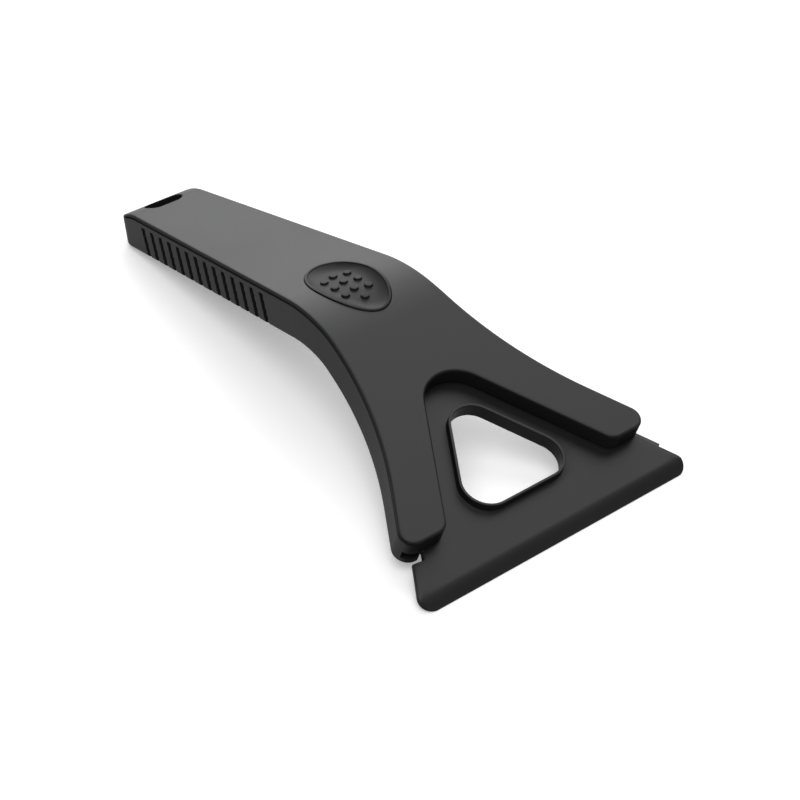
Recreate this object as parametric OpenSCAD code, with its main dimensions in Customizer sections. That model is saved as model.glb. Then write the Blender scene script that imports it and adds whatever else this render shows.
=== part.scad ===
/* [Scraper plate] */
// Distance from the plate's centre to each of its three sides
plate_reach = 32; // [29:0.5:34]
// Radius of the plate's three rounded corners
plate_corner_r = 4; // [2.5:0.5:5.5]
// Thickness of the plate
plate_t = 2.1; // [1.8:0.1:2.6]
// Run of the bevel on the smooth front edge
bevel_run = 4.1; // [3:0.1:5.5]
// Blunt height left at the foot of the bevel
bevel_land = 0.3; // [0.2:0.05:0.6]
// Distance from the plate's centre to the sides of its window
window_reach = 13.7; // [11:0.1:15]
// Radius of the window's rounded corners
window_corner_r = 7.8; // [5:0.1:9]
// Height of the collar that stands round the window
collar_h = 2.8; // [1.5:0.1:4]
// Wall of the collar
collar_wall = 0.9; // [0.8:0.1:1.8]
// Number of gaps along the toothed side
tooth_gaps = 9; // [5:1:9]
// Distance from one gap to the next
tooth_pitch = 8.7; // [7.5:0.1:8.7]
// Depth of a gap
tooth_depth = 3.3; // [2:0.1:4]
// Width of a gap at its mouth
gap_mouth = 5.8; // [4:0.1:6.2]
// Width of a gap at its foot
gap_foot = 3; // [2:0.1:3.8]

/* [Wiper strip] */
// Length of the soft strip along the wiping side
strip_length = 85.6; // [60:0.2:88]
// How far the strip stands past the plate's side
strip_proud = 2.3; // [1.5:0.1:2.8]
// Width of the strip that lies in the plate's rebate
strip_seat = 4; // [3:0.1:6]
// Thickness of the strip
strip_t = 1; // [0.8:0.1:1.2]

/* [Arms] */
// Distance from the plate's centre to the inner sides of the arms
gap_reach = 21.7; // [20:0.1:24]
// Radius of the rounded head of the gap between the arms
gap_head_r = 12; // [9:0.5:14]
// Distance from the plate's centre back to the arms' front ends, along the tool
arm_front = 14.6; // [12:0.2:17]
// Radius of an arm end's outer corner
tip_r = 4.5; // [4:0.5:6]
// Radius of an arm end's inner corner
tip_inner_r = 5; // [3:0.5:6]
// Height of the cover's top over the plate's top face
cover_over_plate = 6.1; // [5.8:0.1:7]
// Distance from the plate's centre to the inner sides of the ledges under the plate
ledge_reach = 28.5; // [26:0.1:29.5]
// Radius of the head of the gap between the ledges
ledge_head_r = 24; // [20:0.5:26]

/* [Grip] */
// Half width of the grip at the middle of the bend
grip_half = 21.3; // [19:0.1:24]
// Angle at which each side of the grip runs in towards the heel
grip_taper = 3.54; // [2:0.02:4]
// Radius of the flare from the grip out to the arms
flare_r = 133; // [110:1:160]
// Angle between the plate and the grip
bend_angle = 30; // [20:1:32]
// Radius of the bend along the cover's top
bend_r = 54; // [48:1:70]
// Distance from the plate's centre to the middle of the bend
bend_at = 69.7; // [68:0.1:76]
// Length of the grip from the start of its straight part to the heel
grip_length = 109.5; // [98:0.5:140]
// Radius of the heel's corners, seen from above
heel_r = 7.5; // [4.5:0.5:8]
// Radius of the roll of the top towards the heel
heel_roll_r = 21; // [18:1:45]
// Length of that roll
heel_roll_l = 14; // [8:0.5:15]
// Thickness of the tool at the arms' ends
depth_arm = 10.9; // [10.4:0.1:13]
// Thickness of the tool at the start of the bend
depth_neck = 12.7; // [11.5:0.1:14]
// Thickness of the tool along the grip
depth_grip = 13.7; // [12.5:0.1:16]
// Radius of the roll along the bottom edge
bottom_r = 1.2; // [0.8:0.1:2.6]

/* [Shells] */
// Radius of the cover's rounded edge
cover_edge_r = 0.8; // [0.6:0.1:1.6]
// Thickness of the cover's skin
cover_skin = 1.8; // [1.5:0.1:2]
// Width of the shadow groove between cover and lower shell
groove_gap = 0.7; // [0.3:0.05:0.8]
// Side wall of the lower shell
shell_wall = 1.9; // [1.6:0.1:2.2]
// Floor of the lower shell along the grip
shell_floor = 2; // [1.6:0.1:2.4]
// Wall of the cover's locating lip and its skirt round the gap
lip_wall = 1.4; // [1.1:0.1:1.8]
// Clearance between parts of the same body
fit_gap = 0.25; // [0.2:0.05:0.35]
// Clearance between the plate and its slot
slot_gap = 0.35; // [0.3:0.05:0.5]

/* [Grip grooves] */
// Number of grooves on each side
groove_count = 14; // [8:1:14]
// Distance from one groove to the next
groove_pitch = 5.8; // [5:0.1:5.8]
// Width of a groove
groove_w = 1.8; // [1.2:0.1:2.6]
// Depth of a groove
groove_depth = 0.9; // [0.5:0.1:1.1]
// Lean of the grooves, their lower ends towards the plate
groove_lean = 8; // [0:1:12]
// Distance of the last groove from the heel
groove_from_heel = 19; // [14:0.5:20]
// Distance of the grooves' upper ends below the cover's top
groove_below_top = 3.2; // [2.6:0.1:5]

/* [Hanging slot] */
// Width of the slot across the grip
slot_w = 14.4; // [12:0.2:18]
// Length of the slot along the grip
slot_l = 8; // [7:0.2:9]
// Distance of the slot's middle from the heel
slot_from_heel = 10.2; // [8:0.1:12]
// Wall of the tube round the slot
slot_wall = 1.5; // [1.2:0.1:2]

/* [Thumb pad] */
// Length of the pad along the tool
pad_l = 34; // [28:0.5:38]
// Width of the pad
pad_w = 22.5; // [18:0.5:26]
// Distance of the pad's middle from the start of the bend, along the top
pad_past_bend = 22; // [20:0.1:26]
// Height of the pad's lip over the cover
pad_lip_h = 0.5; // [0.3:0.1:1]
// Width of the lip
pad_lip_w = 1.4; // [1:0.1:2]
// How much broader the pad's rear half is than its front half
pad_egg = 0.1; // [0:0.02:0.14]
// Depth of the dish under the cover's top
dish_depth = 1.8; // [1.4:0.1:3]
// Thickness of the pad under the dish
pad_floor = 1.2; // [1:0.1:1.5]
// Diameter of a pip
pip_d = 2.9; // [2:0.1:3.6]
// Height of a pip
pip_h = 0.9; // [0.5:0.1:1.4]
// Distance between pips in a row
pip_pitch = 5.5; // [4:0.1:5.6]
// How far the two outer rows of pips are set back
pip_shift = 1.3; // [0:0.1:2.5]
// Distance between the rows of pips
pip_row = 4.6; // [3.8:0.1:5]

/* [Screws] */
// Diameter of a screw's shank
screw_d = 2.6; // [2.2:0.1:2.9]
// Length of a screw under its head
screw_l = 6.5; // [5.5:0.5:6.5]
// Diameter of a screw's head
screw_head_d = 5; // [4.4:0.1:5.4]
// Height of a screw's head
screw_head_h = 1.7; // [1.4:0.1:1.9]
// Thickness of shell under a screw's head
screw_web = 3; // [2.4:0.1:3.2]
// Radius of the lower shell's bosses
boss_r = 4; // [3.6:0.1:4.4]
// Radius of the cover's bosses
post_r = 2.9; // [2.5:0.1:3.1]

/* [Hidden] */
side_angle = 30;
plate_vertex = 2 * plate_reach - plate_corner_r;
slot_reach = plate_reach + strip_proud + slot_gap;
arm_reach = slot_reach + shell_wall;
slot_floor_z = -plate_t - slot_gap;
slot_roof_z = slot_gap;
pocket_end = plate_vertex + slot_gap + shell_wall;
through = 40;
eps = 0.01;

// Path of the cover's top: flat over the plate, a bend, then the straight grip
bend_start = bend_at - bend_r * tan(bend_angle / 2);
bend_len = bend_r * bend_angle * PI / 180;
grip_start = bend_start + bend_len;
heel_u = grip_start + grip_length;
roll_start = heel_u - heel_roll_l;

tip_centre_y = -arm_front + tip_r;
tip_centre = [((arm_reach - tip_r) - sin(side_angle) * tip_centre_y) / cos(side_angle), tip_centre_y];
inner_centre_y = -arm_front + tip_inner_r;
grip_side = grip_half * cos(grip_taper) + (grip_start - bend_len / 2) * sin(grip_taper);
flare_centre = meet(side_angle, arm_reach + flare_r, grip_taper, grip_side + flare_r);
heel_centre_u = heel_u - heel_r;
heel_centre = [(grip_side - heel_r - sin(grip_taper) * heel_centre_u) / cos(grip_taper), heel_centre_u];
flare_end = flare_centre[1] - flare_r * sin(grip_taper);

tip_steps = 5;
flare_steps = 9;
bend_steps = 6;
roll_steps = 3;
heel_steps = 5;
edge_steps = 3;

// Bosses on the grip's centre line, and the pair beside the plate's corner
grip_split = -depth_grip / 2;
grip_bosses = [grip_start + 0.3 * grip_length, heel_u - slot_from_heel - slot_l / 2 - slot_wall - boss_r - 1];
front_boss_y = 42.5;
front_boss_x = (slot_reach + post_r + 0.4 - sin(side_angle) * front_boss_y) / cos(side_angle);
boss_drop = screw_head_h + 0.2;
ribs = [grip_start + 0.12 * grip_length, grip_start + 0.5 * grip_length, grip_start + 0.68 * grip_length];
rib_t = 1.2;
film = 0.1;
off_ring = 0.37;
strip_tip = 0.7;
pad_u = bend_start + pad_past_bend;
pad_seat_depth = dish_depth + pad_floor;
lip_depth = 3.6;
block_depth = 4.6;
skirt_x = corner_of(gap_reach, tip_inner_r)[0];

// Level of the cover's underside: skin, and a thicker block round the hanging slot
cover_under = function(u)
    let (depth = lookup(u, [[roll_start - 3.4, cover_skin], [roll_start - 2.4, block_depth]]))
    -max(roll_drop(u) + cover_skin, depth);
// Level of the lower shell's inner floor: a sill behind the plate, then a ramp down into the grip
cavity_floor = function(u)
    -lookup(u, [[pocket_end, cover_over_plate], [grip_start, depth_grip - shell_floor]]);

// Two lines, each given by its normal's angle and its distance, and where they meet
function meet(a1, d1, a2, d2) =
    let (k = cos(a1) * sin(a2) - sin(a1) * cos(a2))
    [(d1 * sin(a2) - d2 * sin(a1)) / k, (cos(a1) * d2 - cos(a2) * d1) / k];

function arc(centre, r, from, to, steps) =
    [for (i = [0:steps]) let (a = from + (to - from) * i / steps) centre + r * [cos(a), sin(a)]];

// Point of the bent tool: x across, u along the top, v up from it
function bent(x, u, v) =
    u <= bend_start ? [x, u, cover_over_plate + v]
    : u < grip_start
        ? let (a = (u - bend_start) / bend_r * 180 / PI)
          [x, bend_start + (bend_r + v) * sin(a), cover_over_plate - bend_r + (bend_r + v) * cos(a)]
        : let (far = u - grip_start, a = bend_angle)
          [x, bend_start + (bend_r + v) * sin(a) + far * cos(a),
              cover_over_plate - bend_r + (bend_r + v) * cos(a) - far * sin(a)];

// Drop of the top towards the heel, and the tool's thickness along its length
function roll_drop(u) =
    u <= roll_start ? 0 : heel_roll_r - sqrt(pow(heel_roll_r, 2) - pow(min(u - roll_start, heel_roll_l), 2));
function depth_at(u) = lookup(u, [[-arm_front, depth_arm], [bend_start, depth_neck], [grip_start, depth_grip]]);

// Right half of the plan, drawn in by an inset, from the front to the heel, with its places along the grip shifted
function half_plan(inset, shift) = concat(
    arc(tip_centre, tip_r - inset, -90, side_angle, tip_steps),
    [for (i = [0:flare_steps]) let (a = side_angle + (grip_taper - side_angle) * i / flare_steps)
        flare_centre - (flare_r + inset) * [cos(a), sin(a)]],
    [for (s = taper_stations) let (u = s + shift) [half_at(u) - inset / cos(grip_taper), u]],
    arc(heel_centre, heel_r - inset, grip_taper, 90, heel_steps));
function half_at(u) = (grip_side - sin(grip_taper) * u) / cos(grip_taper);
taper_stations = concat(
    [for (i = [1:bend_steps]) flare_end + 1 + (grip_start - flare_end - 1) * i / bend_steps],
    [roll_start - 3.4, roll_start - 2.4],
    [for (i = [0:roll_steps]) roll_start + (heel_centre_u - 1 - roll_start) * i / roll_steps]);

function whole(half) = concat(half, [for (i = [len(half) - 1:-1:0]) [-half[i][0], half[i][1]]]);
// Ring round the tool at an inset, its level given as a function of the place along the tool
function ring(inset, level, shift = 0) = [for (p = whole(half_plan(inset, shift))) bent(p[0], p[1], level(p[1]))];
function below_top(depth) = function(u) -roll_drop(u) - depth;
function over_bottom(height) = function(u) height - depth_at(u);
function oval_ring(inset, v, steps = 32) =
    [for (i = [0:steps - 1]) let (a = (i + 0.5) * 360 / steps - 90)
        bent((pad_w / 2 - inset) * cos(a) * (1 + pad_egg * sin(a)), pad_u + (pad_l / 2 - inset) * sin(a), v)];

// Closed solid through rings from its lower face to its upper face, each mirrored left to right
module loft(rings) {
    n = len(rings[0]);
    m = n / 2;
    top = (len(rings) - 1) * n;
    polyhedron(
        points = [for (ring = rings) each ring],
        faces = concat(
            [for (k = [0:len(rings) - 2]) for (i = [0:n - 1]) let (j = (i + 1) % n)
                each [[k * n + i, (k + 1) * n + j, k * n + j], [k * n + i, (k + 1) * n + i, (k + 1) * n + j]]],
            [for (i = [0:m - 2]) each [[i, i + 1, n - i - 2], [i, n - i - 2, n - i - 1]]],
            [for (i = [0:m - 2])
                each [[top + i, top + n - i - 2, top + i + 1], [top + i, top + n - i - 1, top + n - i - 2]]]));
}

// Places children at a spot of the tool's top: y along it, z up from it
module on_top(u) {
    turn = u <= bend_start ? 0 : min((u - bend_start) / bend_r * 180 / PI, bend_angle);
    translate(bent(0, u, 0))
        rotate([-turn, 0, 0])
            children();
}

// Rounded triangle whose sides lie at one distance from the origin
module triangle(reach, r) {
    polygon([for (k = [0:2]) let (a = 90 + 120 * k, c = (2 * (reach - r)) * [cos(a), sin(a)])
        each arc(c, r, a - 60, a + 60, 8)]);
}

// Gap between the arms, open to the front, with the arms' inner corners rounded
function corner_of(reach, corner_r) = let (y = corner_r - arm_front)
    [((reach + corner_r) - sin(side_angle) * y) / cos(side_angle), y];
module arm_gap(reach, head_r, corner_r) {
    right = concat(
        [[through * 2, -through * 2], [through * 2, -arm_front]],
        arc(corner_of(reach, corner_r), corner_r, 270, 180 + side_angle, 5),
        arc([0, 2 * (reach - head_r)], head_r, side_angle, 90, 8));
    polygon(concat(right, [for (i = [len(right) - 2:-1:0]) [-right[i][0], right[i][1]]]));
}

// The same gap drawn larger, to the outer face of the cover's skirt round it
module skirt_outline() {
    corner = corner_of(gap_reach, tip_inner_r);
    right = concat(
        [[corner[0], lip_wall - arm_front]],
        arc(corner, tip_inner_r - lip_wall, 270, 180 + side_angle, 5),
        arc([0, 2 * (gap_reach - gap_head_r)], gap_head_r + lip_wall, side_angle, 90, 8));
    polygon(concat([[-corner[0], -through], [corner[0], -through]], right,
        [for (i = [len(right) - 2:-1:0]) [-right[i][0], right[i][1]]]));
}

// Everything between two lines that run out from the tool's centre line like the arms
module wedge(reach, from_y, to_y) {
    near = (reach - sin(side_angle) * from_y) / cos(side_angle);
    far = (reach - sin(side_angle) * to_y) / cos(side_angle);
    polygon([[near, from_y], [far, to_y], [-far, to_y], [-near, from_y]]);
}

// Prism of a 2-D shape between two heights over the plate's top face
module prism(low, high) {
    translate([0, 0, low]) linear_extrude(high - low) children();
}

// Rest pose: the plate's front edge and the heel's bottom edge touch the ground
front_edge = [-plate_reach, -plate_t];
heel_profile = [for (k = [0:edge_steps]) let (a = 90 * k / edge_steps)
    bent(0, heel_u - bottom_r * (1 - sin(a)), bottom_r * (1 - cos(a)) - depth_grip)];
rest_tilt = max([for (p = heel_profile) -atan2(p[2] - front_edge[1], p[1] - front_edge[0])]);
heel_top = [for (k = [0:edge_steps]) let (a = 90 * k / edge_steps)
    bent(0, heel_u - cover_edge_r * (1 - cos(a)), -roll_drop(heel_u) - cover_edge_r * (1 - sin(a)))];
rest_length = max([for (p = concat(heel_profile, heel_top))
    (p[1] - front_edge[0]) * cos(rest_tilt) - (p[2] - front_edge[1]) * sin(rest_tilt)]);
module at_rest() {
    translate([0, -rest_length / 2, 0])
        rotate([rest_tilt, 0, 0])
            translate([0, -front_edge[0], -front_edge[1]])
                children();
}

// Runs its children at every screw: z along the screw, zero where its head bears, $skin the cover's middle
module each_screw() {
    for (side = [-1, 1])
        let ($skin = cover_over_plate - cover_skin / 2 - slot_floor_z)
            translate([side * front_boss_x, front_boss_y, slot_floor_z]) children();
    for (u = grip_bosses)
        let ($skin = screw_web - grip_split - cover_skin / 2)
            on_top(u) translate([0, 0, grip_split - screw_web]) children();
}

// Stadium prism of the hanging slot, widened by a wall, between two levels under the grip's top
module slot_prism(wall, low, high) {
    on_top(heel_u - slot_from_heel) translate([0, 0, low]) {
        r = slot_l / 2 + wall;
        for (side = [-1, 1])
            translate([side * (slot_w - slot_l) / 2, 0, 0]) cylinder(r = r, h = high - low, $fn = 48);
        translate([(slot_l - slot_w) / 2, -r, 0]) cube([slot_w - slot_l, 2 * r, high - low]);
    }
}

module scraper_plate() color("#2a2a2c") at_rest() {
    side = [cos(side_angle), sin(side_angle)];
    difference() {
        union() {
            prism(-plate_t, 0) difference() {
                triangle(plate_reach, plate_corner_r);
                for (i = [0:tooth_gaps - 1]) {
                    t = (i - (tooth_gaps - 1) / 2) * tooth_pitch;
                    rotate(180 - side_angle) translate([plate_reach, t])
                        polygon([[tooth_depth, gap_mouth - gap_foot / 2], [-tooth_depth, gap_foot / 2],
                            [-tooth_depth, -gap_foot / 2], [tooth_depth, gap_foot / 2 - gap_mouth]]);
                }
            }
            prism(-plate_t / 2, collar_h) triangle(window_reach + collar_wall, window_corner_r + collar_wall);
        }
        prism(-through, through) triangle(window_reach, window_corner_r);
        rotate([90, 0, 90]) translate([0, 0, -through * 2]) linear_extrude(through * 4)
            polygon([[2 * bevel_run - plate_reach, plate_t - bevel_land],
                [-bevel_run - plate_reach, 2 * (bevel_land - plate_t)], [-bevel_run - plate_reach, plate_t]]);
        rotate(side_angle) translate([plate_reach - strip_seat - fit_gap, -strip_length / 2 - fit_gap, -plate_t - 1])
            cube([strip_seat + 2, strip_length + 2 * fit_gap, strip_t + film + 1]);
    }
}

module wiper_strip() color("#5a5a5c") at_rest() {
    rotate(side_angle) translate([plate_reach, strip_length / 2, -plate_t]) rotate([90, 0, 0])
        linear_extrude(strip_length)
            polygon([[-strip_seat, 0], [strip_proud - strip_tip / 2, 0], [strip_proud, strip_tip / 2],
                [strip_proud - strip_tip / 4, strip_tip], [0.2, strip_t], [-strip_seat, strip_t]]);
}

module top_cover() color("#333336") at_rest() {
    lip_in = shell_wall + fit_gap;
    difference() {
        union() {
            loft(concat(
                [ring(lip_in + lip_wall, cover_under), ring(lip_in + lip_wall, below_top(lip_depth)),
                    ring(lip_in, below_top(lip_depth)), ring(lip_in, below_top(cover_edge_r))],
                [for (i = [0:edge_steps]) let (a = 90 * i / edge_steps)
                    ring(cover_edge_r * (1 - cos(a)), below_top(cover_edge_r * (1 - sin(a))))]));
            loft([oval_ring(-fit_gap - lip_wall, -pad_seat_depth - film - pad_floor),
                oval_ring(-fit_gap - lip_wall, -cover_skin / 2)]);
            prism(slot_roof_z, cover_over_plate - cover_skin / 2) difference() {
                intersection() {
                    skirt_outline();
                    translate([-skirt_x, -arm_front]) square([2 * skirt_x, through * 2]);
                }
                arm_gap(gap_reach, gap_head_r, tip_inner_r);
            }
            each_screw() translate([0, 0, screw_web]) cylinder(r = post_r, h = $skin - screw_web, $fn = 48);
        }
        prism(-through, through) arm_gap(gap_reach, gap_head_r, tip_inner_r);
        loft([oval_ring(-fit_gap, -pad_seat_depth - film), oval_ring(-fit_gap, 2)]);
        slot_prism(0, -through, through);
        each_screw() cylinder(d = screw_d + film, h = screw_l + 0.3, $fn = 32);
    }
}

module lower_shell() color("#242426") at_rest() {
    difference() {
        union() {
            difference() {
                loft(concat(
                    [for (i = [0:edge_steps]) let (a = 90 * i / edge_steps)
                        ring(bottom_r * (1 - sin(a)), over_bottom(bottom_r * (1 - cos(a))))],
                    [ring(0, below_top(cover_edge_r + groove_gap))]));
                loft([ring(shell_wall, cavity_floor, off_ring), ring(shell_wall, below_top(-1), off_ring)]);
            }
            each_screw() translate([0, 0, -boss_drop]) cylinder(r = boss_r, h = screw_web + boss_drop, $fn = 48);
            for (u = ribs) on_top(u) translate([shell_wall * 0.6 - half_at(u), -rib_t / 2, 1 - depth_grip])
                cube([2 * half_at(u) - shell_wall * 1.2, rib_t, depth_grip + grip_split]);
            slot_prism(slot_wall, 1 - depth_grip, -block_depth - fit_gap);
        }
        prism(slot_floor_z, slot_roof_z) wedge(slot_reach, -through, plate_vertex + slot_gap);
        prism(slot_floor_z, through) translate([-skirt_x - fit_gap, -through])
            square([2 * (skirt_x + fit_gap), through - arm_front + shell_wall + 1]);
        prism(-through, 0) arm_gap(ledge_reach, ledge_head_r, tip_inner_r);
        slot_prism(0, -through, through);
        each_screw() {
            translate([0, 0, -through]) cylinder(d = screw_head_d + 2 * fit_gap, h = through, $fn = 48);
            cylinder(d = screw_d + 2 * fit_gap, h = through, $fn = 32);
        }
        for (side = [-1, 1]) for (k = [0:groove_count - 1]) let (u = heel_u - groove_from_heel - k * groove_pitch)
            on_top(u) translate([side * half_at(u), 0, -groove_below_top])
                rotate([-groove_lean, 0, side * grip_taper])
                    translate([-groove_depth, -groove_w / 2, -depth_grip])
                        cube([2 * groove_depth, groove_w, depth_grip]);
    }
}

module thumb_pad() color("#38383a") at_rest() {
    drop = [[0, pad_lip_h * 0.2], [0.3, -0.4], [1.1, -0.68 * dish_depth], [2.6, -0.93 * dish_depth], [4.2, -dish_depth]];
    loft(concat(
        [oval_ring(0, -pad_seat_depth), oval_ring(0, pad_lip_h - 0.3), oval_ring(0.3, pad_lip_h),
            oval_ring(pad_lip_w - 0.2, pad_lip_h)],
        [for (d = drop) oval_ring(pad_lip_w + d[0], d[1])]));
    for (row = [-1:1]) for (i = [0:(row == 0 ? 3 : 2)])
        let (u = pad_u + (i - (row == 0 ? 1.5 : 1)) * pip_pitch + abs(row) * pip_shift)
            on_top(u) translate([row * pip_row, 0, -dish_depth - pad_floor / 2])
                cylinder(d = pip_d, h = pip_h + pad_floor / 2, $fn = 24);
}

module cover_screws() color("#8d9094") at_rest() {
    each_screw() difference() {
        union() {
            translate([0, 0, -screw_head_h]) cylinder(d = screw_head_d, h = screw_head_h, $fn = 48);
            cylinder(d = screw_d, h = screw_l - screw_d / 2, $fn = 32);
            translate([0, 0, screw_l - screw_d / 2])
                cylinder(d1 = screw_d, d2 = screw_d / 4, h = screw_d / 2, $fn = 32);
        }
        for (a = [0, 90]) rotate(a) translate([-screw_head_d * 0.32, -0.35, -screw_head_h - 1])
            cube([screw_head_d * 0.64, 0.7, 1 + screw_head_h * 0.55]);
    }
}

scraper_plate();
wiper_strip();
top_cover();
lower_shell();
thumb_pad();
cover_screws();
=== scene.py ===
"""Looks of the ice scraper: smooth moulded surfaces, finishes, floor, lights and camera.

Every shape is worked out in the plate's own frame, in millimetres: x across the tool, y along the plate
towards the grip, z up from the plate's top face. Along the bent tool, u is the place on its top and v the
height over it. Shape.at_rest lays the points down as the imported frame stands, in metres.

In the names of sizes, r is a radius, d a diameter, h a height, w a width, l a length and t a thickness. A
reach is the distance of a side's line from the origin. Sizes whose names say it all have no line of their own
under Attributes.
"""

import logging
import math
from dataclasses import dataclass, field
from enum import Enum, IntEnum
from typing import Any, Callable, Optional, Sequence, Union

import bmesh
import bpy
import numpy as np
from mathutils import Matrix, Vector


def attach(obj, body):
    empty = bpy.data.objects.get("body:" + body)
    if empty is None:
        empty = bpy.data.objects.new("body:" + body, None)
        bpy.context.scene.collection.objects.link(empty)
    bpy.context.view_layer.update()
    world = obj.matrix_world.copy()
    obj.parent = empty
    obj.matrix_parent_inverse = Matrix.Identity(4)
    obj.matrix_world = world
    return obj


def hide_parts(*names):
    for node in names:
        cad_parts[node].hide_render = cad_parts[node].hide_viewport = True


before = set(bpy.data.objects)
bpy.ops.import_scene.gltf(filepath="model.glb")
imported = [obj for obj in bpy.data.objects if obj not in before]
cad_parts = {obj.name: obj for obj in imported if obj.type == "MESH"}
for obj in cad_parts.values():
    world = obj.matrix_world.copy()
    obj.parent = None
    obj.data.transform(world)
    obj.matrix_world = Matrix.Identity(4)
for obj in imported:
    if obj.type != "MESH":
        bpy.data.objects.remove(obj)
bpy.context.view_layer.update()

MM = 0.001
MIRROR = np.array([-1.0, 1.0, 1.0])
MIRROR_PLAN = np.array([-1.0, 1.0])
FLOOR_RINGS = (1.0, 0.85, 0.65, 0.45, 0.25, 0.1, 0.0)
WHITE = (1.0, 1.0, 1.0, 1.0)
Array = np.ndarray
Level = Callable[[Array], Array]
Measure = Union[float, Array]
log = logging.getLogger("scraper")


# Sizes of the tool


@dataclass(frozen=True)
class Shape:
    """The tool's leading sizes, in millimetres and degrees, as the frame has them.

    The origin is the middle of the plate's top face.

    Attributes:
        plate_reach: reach of the plate's three sides.
        slot_reach: reach of the end of the slot that holds the plate.
        slot_gap: play of the plate in its slot.
        side_angle: angle of a side's normal from the x axis.
        arm_front: how far the arms' ends lie in front of the origin.
        tip_r: radius of an arm's outer corner.
        top: height of the arms' top over the plate.
        bend_r: radius of the bend, measured along the top.
        bend_at: place where the two straight tops would meet.
        grip_half: half the grip's width in the middle of the bend.
        grip_taper: angle by which each side of the grip draws in.
        flare_r: radius of the hollow curve from the grip to an arm.
        grip_length: length of the straight grip.
        heel_r: radius of the heel's corners in the plan.
        roll_r: radius of the top's fall at the heel.
        roll_l: length of that fall.
        depth_arm: thickness of the tool at the arms' ends.
        depth_neck: thickness where the bend starts.
        depth_grip: thickness of the grip.
        bottom_r: radius of the underside's edge.
        edge_r: radius of the top's edge.
        pad_past_bend: distance from the bend's start to the thumb pad's middle.
        slot_from_heel: distance from the heel's end to the hanging slot's middle.
    """

    plate_reach: float = 32.0
    plate_corner_r: float = 4.0
    plate_t: float = 2.1
    slot_reach: float = 34.65
    slot_gap: float = 0.35
    side_angle: float = 30.0
    shell_wall: float = 1.9
    arm_front: float = 14.6
    tip_r: float = 4.5
    top: float = 6.1
    bend_r: float = 54.0
    bend_angle: float = 30.0
    bend_at: float = 69.7
    grip_half: float = 21.3
    grip_taper: float = 3.54
    flare_r: float = 133.0
    grip_length: float = 109.5
    heel_r: float = 7.5
    roll_r: float = 21.0
    roll_l: float = 14.0
    depth_arm: float = 10.9
    depth_neck: float = 12.7
    depth_grip: float = 13.7
    bottom_r: float = 1.2
    edge_r: float = 0.8
    pad_past_bend: float = 22.0
    slot_from_heel: float = 10.2

    @property
    def arm_reach(self) -> float:
        """Distance of the arms' outer sides from the origin."""
        return self.slot_reach + self.shell_wall

    @property
    def bend_start(self) -> float:
        """Place along the top where the bend starts."""
        return self.bend_at - self.bend_r * math.tan(math.radians(self.bend_angle / 2))

    @property
    def grip_start(self) -> float:
        """Place along the top where the straight grip starts."""
        return self.bend_start + self.bend_r * math.radians(self.bend_angle)

    @property
    def heel_u(self) -> float:
        """Place along the top of the heel's end."""
        return self.grip_start + self.grip_length

    @property
    def pad_u(self) -> float:
        """Place along the top of the thumb pad's middle."""
        return self.bend_start + self.pad_past_bend

    @property
    def slot_u(self) -> float:
        """Place along the top of the hanging slot's middle."""
        return self.heel_u - self.slot_from_heel

    @property
    def grip_side(self) -> float:
        """Distance of the grip's side line from the origin."""
        t = math.radians(self.grip_taper)
        middle = self.grip_start - self.bend_r * math.radians(self.bend_angle) / 2
        return self.grip_half * math.cos(t) + middle * math.sin(t)

    def half_at(self, u: Array) -> Array:
        """Half width of the grip at a place along it."""
        t = math.radians(self.grip_taper)
        return (self.grip_side - math.sin(t) * u) / math.cos(t)

    def roll_drop(self, u: Array) -> Array:
        """Fall of the top near the heel: an arc of radius roll_r that starts roll_l before the end."""
        far = np.clip(u - (self.heel_u - self.roll_l), 0, self.roll_l)
        return self.roll_r - np.sqrt(self.roll_r**2 - far**2)

    def depth_at(self, u: Array) -> Array:
        """Thickness of the tool, growing in two straight stretches from the arms' ends to the grip."""
        places = [-self.arm_front, self.bend_start, self.grip_start]
        return np.interp(u, places, [self.depth_arm, self.depth_neck, self.depth_grip])

    def turn_at(self, u: Measure) -> Measure:
        """Angle in radians by which the path has turned at a place."""
        return np.clip((u - self.bend_start) / self.bend_r, 0, math.radians(self.bend_angle))

    def bent(self, x: Measure, u: Measure, v: Measure) -> Array:
        """Points of the bent tool.

        The path is a straight line, an arc of bend_r about a centre under the top, and a straight line
        again; v is measured square to it.

        Args:
            x: places across.
            u: places along the top.
            v: heights over the top.

        Returns:
            Points in the plate's frame, with the coordinates along the last axis.
        """
        turn = self.turn_at(u)
        before = np.minimum(u - self.bend_start, 0)
        after = np.maximum(u - self.grip_start, 0)
        y = self.bend_start + before + (self.bend_r + v) * np.sin(turn) + after * np.cos(turn)
        z = self.top - self.bend_r + (self.bend_r + v) * np.cos(turn) - after * np.sin(turn)
        return np.stack(np.broadcast_arrays(x, y, z), axis=-1)

    def above(self, plan: Array, v: Measure) -> Array:
        """Points of the bent tool over places of the plan, at heights over the top."""
        return self.bent(plan[..., 0], plan[..., 1], v)

    def rest_numbers(self) -> tuple[float, float]:
        """How the tool stands, on the plate's front edge and the lowest point of the heel's round.

        Returns:
            Tilt of the plate, in radians, and the tool's length over the ground, in millimetres.
        """
        a = np.radians([0, 30, 60, 90])
        low_u = self.heel_u - self.bottom_r * (1 - np.sin(a))
        low = self.bent(0, low_u, self.bottom_r * (1 - np.cos(a)) - self.depth_grip)
        fall = self.roll_drop(np.full(4, self.heel_u))
        high_u = self.heel_u - self.edge_r * (1 - np.cos(a))
        high = self.bent(0, high_u, -fall - self.edge_r * (1 - np.sin(a)))
        tilt = float(np.max(-np.arctan2(low[:, 2] + self.plate_t, low[:, 1] + self.plate_reach)))
        ends = np.vstack([low, high])
        along = (ends[:, 1] + self.plate_reach) * math.cos(tilt)
        return tilt, float(np.max(along - (ends[:, 2] + self.plate_t) * math.sin(tilt)))

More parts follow.
